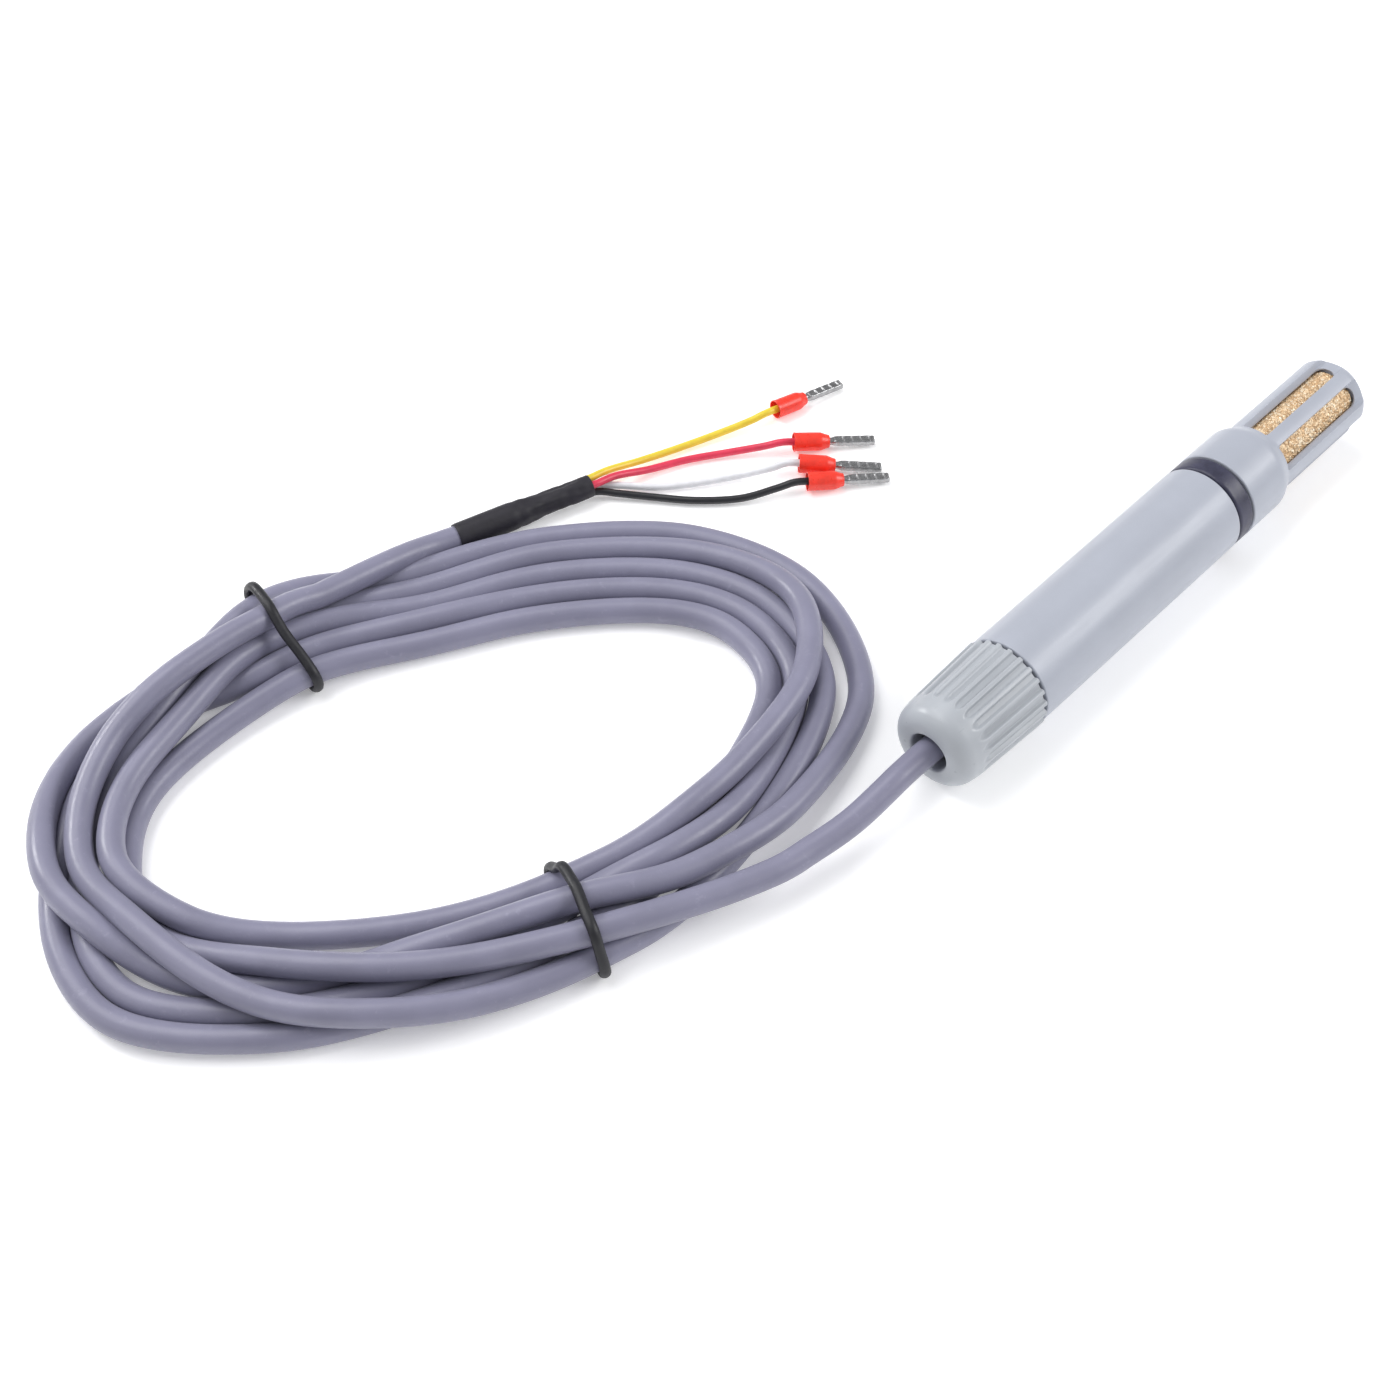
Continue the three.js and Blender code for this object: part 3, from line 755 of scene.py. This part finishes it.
def strands_at(place):
    """Where the cable crosses the tie's plane: distances outward and heights."""
    middle, outward = outline_at(place)
    along = np.array((outward[1], -outward[0]))
    ahead = (CABLE_LINE[:, :2] - middle) @ along
    across = (CABLE_LINE[:, :2] - middle) @ outward
    found = []
    for i in np.nonzero(ahead[:-1] * ahead[1:] <= 0)[0]:
        t = ahead[i] / (ahead[i] - ahead[i + 1])
        if abs(across[i]) < 4 * CABLE_DIAMETER:
            lane = across[i] + (across[i + 1] - across[i]) * t
            height = CABLE_LINE[i, 2] + (CABLE_LINE[i + 1, 2] - CABLE_LINE[i, 2]) * t
            found.append((lane, height))
    return np.array(found)


def tie(name, node, place, arch_angle):
    """A rubber loop drawn tight round the strands, with its spare length standing up as a small arch."""
    middle, outward = outline_at(place)
    along = np.array((outward[1], -outward[0]))
    strands = strands_at(place)
    angles = full_circle(120)
    around = np.stack([np.cos(angles), np.sin(angles)], axis=1)
    support = strands[np.argmax(strands @ around.T, axis=0)]
    offset = CABLE_RADIUS + TIE_THICKNESS / 2 + TIE_GAP
    loop = support + around * offset
    loop = respaced(np.vstack([loop, loop[:1]]), 97)[:-1]
    for _ in range(3):
        loop = (np.roll(loop, 1, axis=0) + 2 * loop + np.roll(loop, -1, axis=0)) / 4
    spokes = loop - loop.mean(0)
    bearing = np.arctan2(spokes[:, 1], spokes[:, 0])
    gap = np.angle(np.exp(1j * (bearing - math.radians(arch_angle))))
    reach = spokes / np.linalg.norm(spokes, axis=1)[:, None]
    loop += reach * (ARCH_HEIGHT * np.exp(-((gap / ARCH_SPREAD) ** 2)))[:, None]
    loop[:, 1] = np.maximum(loop[:, 1], TIE_THICKNESS / 2)
    tangent = np.roll(loop, -1, axis=0) - np.roll(loop, 1, axis=0)
    tangent /= np.linalg.norm(tangent, axis=1)[:, None]
    wander = TIE_WANDER * np.sin(bearing * 2 + 0.7)
    section = full_circle(16)
    rings = []
    for (lane, height), (run, rise), drift in zip(loop, tangent, wander):
        thick = TIE_THICKNESS / 2 * np.cos(section)
        wide = TIE_WIDTH / 2 * np.sin(section) + drift
        lanes = lane + thick * rise
        heights = height - thick * run
        flat = middle + outward * lanes[:, None] + along * wide[:, None]
        rings.append(np.column_stack([flat, heights]))
    return solid(name, node, "housing", TIE_RUBBER, "rubber", loft(rings, closed=True))


TIES = [
    tie("rubber_tie_lower", "tie_lower", LOWER_TIE, 140),
    tie("rubber_tie_upper", "tie_upper", UPPER_TIE, 40),
]

# ---- sleeve ----

SLEEVE_START = np.array((-70, 88.6, 2.45))
SLEEVE_END = np.array((-46, 81.2, 2.45))


def heat_shrink():
    """A shrunk sleeve: snug on the jacket, drawn in behind it, a little open at the wires."""
    run = SLEEVE_END - SLEEVE_START
    length = np.linalg.norm(run)
    run = run / length
    side = np.array((-run[1], run[0], 0))
    outline = [
        (0.1, 2.12, 0), (0, 2.3, 0.1), (0.5, 2.38, 0.2), (9.5, 2.4, 1.5), (11.6, 2.32, 1.2),
        (13.8, 1.9, 1.2), (17, 1.78, 2), (21, 1.84, 2), (length - 0.2, 2, 0.2), (length, 1.9, 0.1),
        (length - 0.1, 1.66, 0.1), (length - 4, 1.5, 0.5), (length - 4.5, 0.2, 0),
    ]
    shape = rounded(outline, closed=False)
    fine = [shape[0]]
    for before, after in zip(shape, shape[1:]):
        pieces = max(1, int(np.linalg.norm(after - before) / 0.35))
        fine += [before + (after - before) * k / pieces for k in range(1, pieces + 1)]
    angles = full_circle(40)
    rings = []
    for x, radius in fine:
        drawn = clamped((x - 11) / 3) * clamped((length - x) / 2.5)
        wide_folds = 0.07 * drawn * np.cos(4 * angles + 0.25 * x)
        fine_folds = 0.03 * drawn * np.sin(7 * angles - 0.5 * x)
        creases = 0.03 * math.sin(2.1 * x) * math.sin(0.7 * x) * clamped((x - 8) / 3)
        wall = radius * (1 + (wide_folds + fine_folds) + creases)
        sideways = wall * np.cos(angles) * (1 + 0.05 * drawn)
        ring = SLEEVE_START + run * x + side * sideways[:, None]
        ring[:, 2] += wall * np.sin(angles)
        rings.append(ring)
    return solid("shrink_sleeve", "heat_shrink", "housing", SLEEVE_BLACK, "sleeve", loft(rings))


SLEEVE = heat_shrink()

# ---- wires and ferrules ----

FERRULE_PITCH = math.radians(4.5)
FERRULE_Z = 1.95
WIRES = {
    "yellow": {
        "route": [
            (-45, 82, 3.1), (-41, 81.6, 2.4), (-35, 80.2, 1.2),
            (-28, 77.9, 0.8), (-21, 75.4, 0.9), (-15, 73, 1.5),
        ],
        "mouth": (-10, 71.4),
        "heading": -13,
    },
    "red": {
        "route": [
            (-45.4, 80.3, 3.1), (-41.2, 79.6, 2.5), (-35.5, 77.6, 1.2),
            (-29, 74.8, 0.8), (-23, 70.9, 0.9), (-18, 67, 1.5),
        ],
        "mouth": (-13.9, 63.6),
        "heading": -40,
    },
    "white": {
        "route": [
            (-45.1, 81.9, 1.4), (-41.4, 78.4, 1.1), (-37, 73.6, 0.8),
            (-31.6, 69.4, 0.8), (-26, 65.8, 0.9), (-21, 62.4, 1.5),
        ],
        "mouth": (-17.2, 59.4),
        "heading": -46,
    },
    "black": {
        "route": [
            (-45.6, 80.2, 1.4), (-43, 77.2, 1.1), (-39.4, 72.6, 0.8),
            (-35, 66.8, 0.8), (-29.5, 61.6, 0.9), (-24, 58.4, 1.5),
        ],
        "mouth": (-19.5, 55.4),
        "heading": -38,
    },
}
SLEEVE_INSET = 4
GATHERING = 0.12


def ferrule_place(points, wire):
    """Points of a ferrule's own frame, X along its pin, brought to where it lies."""
    points = np.asarray(points, float)
    pitch = FERRULE_PITCH
    heading = math.radians(wire["heading"])
    tilt = np.array((
        (math.cos(pitch), 0, math.sin(pitch)),
        (0, 1, 0),
        (-math.sin(pitch), 0, math.cos(pitch)),
    ))
    turn = np.array((
        (math.cos(heading), -math.sin(heading), 0),
        (math.sin(heading), math.cos(heading), 0),
        (0, 0, 1),
    ))
    return points @ (turn @ tilt).T + (*wire["mouth"], FERRULE_Z)


def conductor(colour, wire):
    """A wire from inside the sleeve, where the four gather a little, into its ferrule."""
    on_axis = ferrule_place([(-2, 0, 0), (1.5, 0, 0), (4.3, 0, 0)], wire)
    start = np.array(wire["route"][0])
    run = (SLEEVE_START - SLEEVE_END) / np.linalg.norm(SLEEVE_START - SLEEVE_END)
    inside = start + run * SLEEVE_INSET
    inside[1:] += (SLEEVE_END + run * SLEEVE_INSET - inside)[1:] * GATHERING
    line = evenly(catmull_rom([inside, *wire["route"], *on_axis], 10), 0.5)
    name = f"core_{colour}"
    curve = cord_curve(name, line, WIRE_DIAMETER, faces=5)
    node = f"conductor_{colour}"
    piece = add_piece(name, curve, "housing", WIRE_FINISHES[colour], (node,))
    return piece, distances_along(line)[-1]


def ring_about_x(x, radius, sides=32):
    """A ring of points about a ferrule's own X axis."""
    angles = full_circle(sides)
    return np.stack([np.full(sides, x), radius * np.cos(angles), radius * np.sin(angles)], axis=1)


def ferrule_collar(colour, wire):
    """A flared plastic funnel with its neck round the metal pin."""
    outline = rounded([
        (0, 1.45, 0.08), (0, 1.68, 0.1), (0.5, 1.62, 0.3), (4.8, 1.6, 0.25), (5.9, 1.2, 0.25),
        (COLLAR_LENGTH, 1.13, 0.12), (COLLAR_LENGTH, 0.98, 0.05), (4.2, 0.98, 0.3), (3.4, 1.32, 0.5),
    ])
    points, faces = loft([ring_about_x(x, radius) for x, radius in outline], closed=True)
    part = (ferrule_place(points, wire), faces)
    return solid(f"collar_{colour}", f"ferrule_collar_{colour}", "housing", COLLAR_RED, "ferrule", part)


def ferrule_pin(colour, wire):
    """A tin-plated tube crimped flat, with the square bites of the crimping jaws."""
    start = 4.7
    press = COLLAR_LENGTH + 0.4
    bite = 1.55
    sides = 40
    angles = full_circle(sides)
    rings = []
    for x in np.arange(start, FERRULE_LENGTH + 0.001, 0.08):
        flat = clamped((x - press) / 0.7)
        power = 1 - 0.55 * flat
        half_width = 0.66 + 0.19 * flat
        half_height = 0.66 - 0.06 * flat
        phase = ((x - press - 0.8) % bite) / bite
        tooth = flat * clamped(6 * (0.5 - abs(phase - 0.5)) - 0.6)
        y = half_width * np.sign(np.cos(angles)) * np.abs(np.cos(angles)) ** power
        z = half_height * np.sign(np.sin(angles)) * np.abs(np.sin(angles)) ** power
        inset = np.clip(1.25 - np.abs(y) / (0.6 * half_width), 0, 1) ** 0.5
        z = z * (1 - 0.3 * tooth * inset)
        y = y * (1 - 0.06 * flat * (1 - tooth))
        if x > FERRULE_LENGTH - 0.2:
            y, z = y * 0.94, z * 0.9
        rings.append(np.stack([np.full(sides, x), y, z], axis=1))
    points, faces = loft(rings)
    part = (ferrule_place(points, wire), faces)
    return solid(f"pin_{colour}", f"ferrule_pin_{colour}", "housing", TINNED, "tinned", part)


for colour, wire in WIRES.items():
    core, length = conductor(colour, wire)
    ferrule_collar(colour, wire)
    ferrule_pin(colour, wire)

# ---- probe ----


def probe_tube():
    """The tube with its threaded neck, and inside it the stop that the cable passes through."""
    hole = CABLE_RADIUS + 0.6
    stop_start = TUBE_START_X - 2.9
    stop_end = TUBE_START_X + 3.6
    outline = rounded([
        (NECK_END_X, NECK_BORE_RADIUS, 0.2), (NECK_END_X, NECK_RADIUS - 0.3, 0.1),
        (NECK_END_X + 0.5, NECK_RADIUS, 0.2), (TUBE_START_X, NECK_RADIUS, 0.2),
        (TUBE_START_X, TUBE_RADIUS, 0.3), (TUBE_END_X, TUBE_RADIUS, 0.35),
        (TUBE_END_X, TUBE_BORE_RADIUS, 0.2), (stop_end, TUBE_BORE_RADIUS, 0.3), (stop_end, hole, 0.2),
        (stop_start, hole, 0.2), (stop_start, NECK_BORE_RADIUS, 0.3),
    ])
    shell = turned(outline, 128)
    thread = thread_ridge(NECK_END_X + 0.9, NECK_RADIUS)
    return weigh_normals(solid("tube_shell", "probe_tube", "housing", HOUSING, "housing", shell, thread))


def grip_relief(x, radius, angles):
    """Carves flat-floored grooves with round front ends into the nut, narrow ribs between them."""
    if radius < GROOVED_RADIUS or x < GROOVE_START_X:
        return np.full(len(angles), radius)
    front = min((x - GROOVE_START_X) / 1.5, 1)
    across = 0.5 - 0.5 * np.cos(RIB_COUNT * angles)
    edge = 0.16 + 0.84 * (1 - front) ** 2
    reach = np.clip((across - edge) / 0.42, 0, 1)
    return radius - GROOVE_DEPTH * (0.3 + 0.7 * front) * reach**2 * (3 - 2 * reach)


def gland_nut():
    """The nut: a mouth for the cable, a rounded nose, ribs for the grip and a bore over the neck."""
    bore_end = NECK_END_X - 1.5
    nose = [
        (NOSE_X + NOSE_ROUNDING * (1 - math.cos(a)), NOSE_FACE_RADIUS + NOSE_ROUNDING * math.sin(a), 0)
        for a in np.linspace(0.25, 1.5, 12)
    ]
    outline = rounded([
        (NOSE_X + 0.5, MOUTH_RADIUS, 0.15), (NOSE_X + 0.08, 3.5, 0.2), (NOSE_X, NOSE_FACE_RADIUS, 0.4),
        *nose, (NOSE_X + 4.6, 7.72, 1), (NUT_BACK_X, NUT_RADIUS, 0.25),
        (NUT_BACK_X, NUT_BORE_RADIUS, 0.25), (bore_end, NUT_BORE_RADIUS, 0.2), (bore_end, 5, 0.2),
        (NOSE_X + 2.8, MOUTH_RADIUS, 0.4),
    ])
    fine = []
    for before, after in zip(outline, np.roll(outline, -1, axis=0)):
        on_ribs = min(before[1], after[1]) > GROOVED_RADIUS
        pieces = max(1, int(abs(after[0] - before[0]) / 0.2)) if on_ribs else 1
        fine += [before + (after - before) * k / pieces for k in range(pieces)]
    shell = turned(fine, RIB_COUNT * 16, relief=grip_relief)
    return solid("grip_nut", "gland_nut", "gland", NUT_GREY, "gland_nut", shell)


def turned_piece(name, node, body, corners, finish, slot, sides=96):
    """A ring turned about the probe's axis, as a piece that stands for one node."""
    return weigh_normals(solid(name, node, body, finish, slot, turned(rounded(corners), sides)))


def gland_rubber():
    """The seal that the nut presses into the neck and onto the cable."""
    bore = CABLE_RADIUS + 0.12
    seat = 4.5
    front = NOSE_X + 3.1
    back = TUBE_START_X - 3.2
    corners = [
        (front + 0.3, bore, 0.1), (front, bore + 0.35, 0.2), (front, 2.9, 0.3),
        (NECK_END_X - 1.5, seat, 0.5), (back, seat, 0.3), (back, bore, 0.2),
    ]
    return turned_piece("seal_grommet", "gland_seal", "housing", corners, SEAL_RUBBER, "rubber")


def washer():
    """The slip washer between the nut and the seal."""
    low, high = span("slip_washer")
    inner, outer = 4.9, 6.4
    corners = [
        (low[0], inner, 0.15), (low[0], outer, 0.2), (high[0], outer, 0.2), (high[0], inner, 0.15),
    ]
    return turned_piece("nut_washer", "slip_washer", "gland_slip", corners, NYLON, "nylon")


def body_ring():
    """The dark ring between the tube and the cap."""
    inner, outer = 6.8, TUBE_RADIUS - 0.05
    corners = [
        (RING_LOW[0], inner, 0.2), (RING_LOW[0], outer, 0.6), (RING_HIGH[0], outer, 0.5),
        (RING_HIGH[0], inner, 0.2),
    ]
    return turned_piece("body_ring", "seal_ring", "cap_seal", corners, RING_RUBBER, "seal_ring", 128)


def rounded_plan(x0, x1, half_width, corner, z):
    """A flat ring of points at height z: a rectangle along X with rounded corners."""
    plan = []
    quarter = np.linspace(0, math.pi / 2, 7)
    for cx, cy, turn in (
        (x1 - corner, half_width - corner, 0), (x0 + corner, half_width - corner, 1),
        (x0 + corner, corner - half_width, 2), (x1 - corner, corner - half_width, 3),
    ):
        for angle in quarter + turn * math.pi / 2:
            plan.append((cx + corner * math.cos(angle), cy + corner * math.sin(angle)))
    return np.column_stack([plan, np.full(len(plan), z)])


def flute_cutter():
    """A flute's shape: a flat floor, sides that slope outward, and round corners at its near end."""
    spread = (FLUTE_WIDTH - WINDOW_WIDTH) / 2 / (CAGE_RADIUS - FLUTE_RADIUS)
    start = SHOULDER_X + 0.1
    end = TIP_X + 3
    corner = 0.4
    clear_of_cage = 9
    rings = []
    for height in (FLUTE_RADIUS, clear_of_cage):
        half_width = WINDOW_WIDTH / 2 + (height - FLUTE_RADIUS) * spread
        rings.append(rounded_plan(start, end, half_width, corner, height))
    return loft(rings)


def slot_cutter():
    """A round-ended slot from inside the bore up through a flute's floor."""
    end = WINDOW_START_X + WINDOW_LENGTH
    half_width = WINDOW_WIDTH / 2 + 0.02
    corner = WINDOW_WIDTH / 2 - 0.1
    heights = (CAP_BORE_RADIUS - 1.6, 6.2)
    return loft([rounded_plan(WINDOW_START_X, end, half_width, corner, z) for z in heights])


def about_x(angle):
    """The matrix that turns points about the X axis, from above the axis towards +Y."""
    c, s = math.cos(angle), math.sin(angle)
    return np.array(((1, 0, 0), (0, c, s), (0, -s, c)))


def window_cutters():
    """Six flutes that run out over the tip, each with a slot through its floor."""
    parts = []
    shapes = (flute_cutter(), slot_cutter())
    for window in range(WINDOW_COUNT):
        turn = about_x(WINDOW_TURN + 2 * math.pi * window / WINDOW_COUNT)
        for points, faces in shapes:
            parts.append((points @ turn.T + (0, 0, AXIS_Z), faces))
    return parts


def cut_mesh(name, mesh, cutters):
    """The mesh with each cutter taken out of it, as a mesh of its own."""
    blank = linked("blank", mesh)
    tools = [linked("cutter", mesh_of("cutter", cutter)) for cutter in cutters]
    for tool in tools:
        cut = blank.modifiers.new("cut", "BOOLEAN")
        cut.operation = "DIFFERENCE"
        cut.solver = "EXACT"
        cut.object = tool
    bpy.context.view_layer.update()
    shown = blank.evaluated_get(bpy.context.evaluated_depsgraph_get())
    result = bpy.data.meshes.new_from_object(shown)
    result.name = name
    for spare in (blank, *tools):
        bpy.data.objects.remove(spare)
    return result


def filter_cap():
    """The cap: a threaded spigot, a plain base, a shoulder and a cage with six windows."""
    corner = 2.6
    hub = 0.01
    dome = [
        (TIP_X - corner + corner * math.sin(a), CAGE_RADIUS - corner * (1 - math.cos(a)), 0)
        for a in np.linspace(0, math.pi / 2, 12)
    ]
    outline = rounded([
        (TIP_X - 2.2, 0, 0), (TIP_X - 2.2, CAGE_BORE_RADIUS, 0.3),
        (SHOULDER_X - 0.9, CAGE_BORE_RADIUS, 0.1), (SHOULDER_X - 0.9, CAP_BORE_RADIUS, 0.1),
        (SPIGOT_X, CAP_BORE_RADIUS, 0.2), (SPIGOT_X, NECK_RADIUS, 0.25),
        (CAP_START_X, NECK_RADIUS, 0.2), (CAP_START_X, TUBE_RADIUS, 0.3),
        (SHOULDER_X - SHOULDER_LENGTH, TUBE_RADIUS, 0.8), (SHOULDER_X, CAGE_RADIUS, 0.6), *dome,
        (TIP_X, 0, 0),
    ], closed=False)
    outline[0, 1] = hub
    outline[-1, 1] = hub
    blank = mesh_of("blank", turned(outline, 144, closed=False))
    cage = cut_mesh("filter_cap", blank, window_cutters())
    work = bmesh.new()
    work.from_mesh(cage)
    ridge = mesh_of("ridge", thread_ridge(SPIGOT_X + 0.9, NECK_RADIUS))
    work.from_mesh(ridge)
    bpy.data.meshes.remove(ridge)
    for face in work.faces:
        face.smooth = True
    work.to_mesh(cage)
    work.free()
    cage.materials.clear()
    piece = add_piece("slotted_cap", cage, "cap", HOUSING, ("filter_cap",))
    soften_edges(piece, 0.14, 3, 38)
    return weigh_normals(piece)


BEAD_ROW_RISE = 0.87
BEAD_SCATTER = 0.1
FILTER_SEED = 7


def bead_relief(xs, radius, sides):
    """How far beads packed on a cylinder stand proud of its pores, for each ring and side."""
    chance = np.random.default_rng(FILTER_SEED)
    girth = 2 * math.pi * radius
    columns = int(girth / BEAD_PITCH)
    rows = int((xs[-1] - xs[0]) / (BEAD_PITCH * BEAD_ROW_RISE)) + 3
    centres = []
    for row in range(rows):
        for column in range(columns):
            x = xs[0] + (row - 1) * BEAD_PITCH * BEAD_ROW_RISE
            arc = (column + 0.5 * (row % 2)) * girth / columns
            x += chance.uniform(-BEAD_SCATTER, BEAD_SCATTER)
            arc += chance.uniform(-BEAD_SCATTER, BEAD_SCATTER)
            centres.append((x, arc))
    sizes = chance.uniform(0.8, 1.12, len(centres)) * BEAD_PITCH * 0.58
    tree = KDTree(3 * len(centres))
    for i, (x, arc) in enumerate(centres):
        for k, wrap in enumerate((-girth, 0, girth)):
            tree.insert((x, arc + wrap, 0), 3 * i + k)
    tree.balance()
    relief = np.zeros((len(xs), sides))
    for i, x in enumerate(xs):
        for j in range(sides):
            best = 0
            for _, index, distance in tree.find_n((x, girth * j / sides, 0), 3):
                size = sizes[index // 3]
                if distance < size:
                    best = max(best, math.sqrt(size**2 - distance**2))
            relief[i, j] = best
    return relief


def sintered_filter():
    """The filter cup, its outside a packing of fused beads where the windows show it."""
    low, high = span("sintered_filter")
    outer = (high[2] - low[2]) / 2
    stem = CAP_BORE_RADIUS - 0.3
    start = low[0]
    end = high[0]
    wall = 1.4
    step_x = SHOULDER_X - 0.6
    corner = 0.3
    hub = 0.05
    sides = 340
    spacing = 0.092
    xs = np.arange(WINDOW_START_X - 0.5, end - 0.03, spacing)
    proud = bead_relief(xs, outer, sides)
    depth = proud.max()
    angles = full_circle(sides)
    outline = [
        (end - wall, hub), (end - wall, stem - wall), (start, stem - wall), (start, stem - 0.15),
        (start + 0.15, stem), (step_x, stem), (step_x, outer),
    ]
    for x, row in zip(xs, proud):
        past = max(x - (end - corner), 0)
        outline.append((x, outer - corner + math.sqrt(corner**2 - past**2) - depth + row))
    outline += [(end, outer - corner), (end, hub)]
    cup = loft([axis_ring(x, radius, angles) for x, radius in outline])
    return solid("bronze_filter", "sintered_filter", "cap", BRONZE, "bronze", cup)


probe_tube()
gland_nut()
gland_rubber()
washer()
body_ring()
filter_cap()
sintered_filter()

# ---- inside the tube ----

INNER_FINISHES = {
    "sensor_board": BOARD,
    "board_holder": NYLON,
    "cable_clamp": TINNED,
    "humidity_sensor": CHIP,
    "microcontroller": CHIP,
    "voltage_regulator": CHIP,
    "capacitor_1": CERAMIC,
    "capacitor_2": CERAMIC,
    **{f"board_wire_{colour}": WIRE_FINISHES[colour] for colour in WIRES},
}


def finish_inner_parts():
    """Gives the parts inside the tube their materials and softens their edges."""
    for node, finish in INNER_FINISHES.items():
        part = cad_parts[node]
        part.data.materials.clear()
        part.data.materials.append(finish)
        soften_edges(part, 0.08, 2, 40)


finish_inner_parts()

# ---- floor and light ----


FLOOR_REACH = 2.5
FLOOR_DROP = 0.0002
FLOOR_GLOW = 0.22
WORLD_COLOUR = (0.97, 0.98, 1, 1)
WORLD_STRENGTH = 0.42


def make_floor():
    """A flat pale floor with a very faint mottle."""
    white = (1, 1, 1, 1)
    finish = Finish("floor_white", Roughness=0.9, Emission_Color=white, Emission_Strength=FLOOR_GLOW)
    mottle = finish.noise(60, 3)
    tone = finish.ramp(mottle, (0.3, (0.9, 0.9, 0.905, 1)), (0.7, (0.93, 0.93, 0.935, 1)))
    finish.drive("Base Color", tone)
    mesh = bpy.data.meshes.new("floor")
    sides = ((-1, -1), (1, -1), (1, 1), (-1, 1))
    corners = [(x * FLOOR_REACH, y * FLOOR_REACH, 0) for x, y in sides]
    mesh.from_pydata(corners, [], [(0, 1, 2, 3)])
    mesh.materials.append(finish.material)
    floor = linked("floor", mesh)
    floor.location.z = -FLOOR_DROP


# Each light: name, azimuth, elevation, distance, width and height in millimetres, and watts.
LIGHTS = [
    ("key_softbox", 46, 36, 900, 500, 350, 4.2),
    ("top_softbox", 195, 66, 900, 800, 450, 4.2),
    ("back_strip", 195, 28, 800, 160, 140, 2.6),
    ("left_fill", -110, 30, 1000, 500, 500, 0.8),
]


def make_lights():
    """Soft boxes that all face the middle of the view, and an even pale surrounding."""
    for name, azimuth, elevation, distance, width, height, watts in LIGHTS:
        lamp = bpy.data.lights.new(name, "AREA")
        lamp.shape = "RECTANGLE"
        lamp.size = width * MM
        lamp.size_y = height * MM
        lamp.energy = watts
        look_from(linked(name, lamp), azimuth, elevation, distance)
    world = bpy.data.worlds.new("studio")
    world.use_nodes = True
    background = world.node_tree.nodes["Background"]
    background.inputs["Color"].default_value = WORLD_COLOUR
    background.inputs["Strength"].default_value = WORLD_STRENGTH
    bpy.context.scene.world = world
    bpy.context.scene.view_settings.view_transform = "Standard"


make_floor()
make_lights()
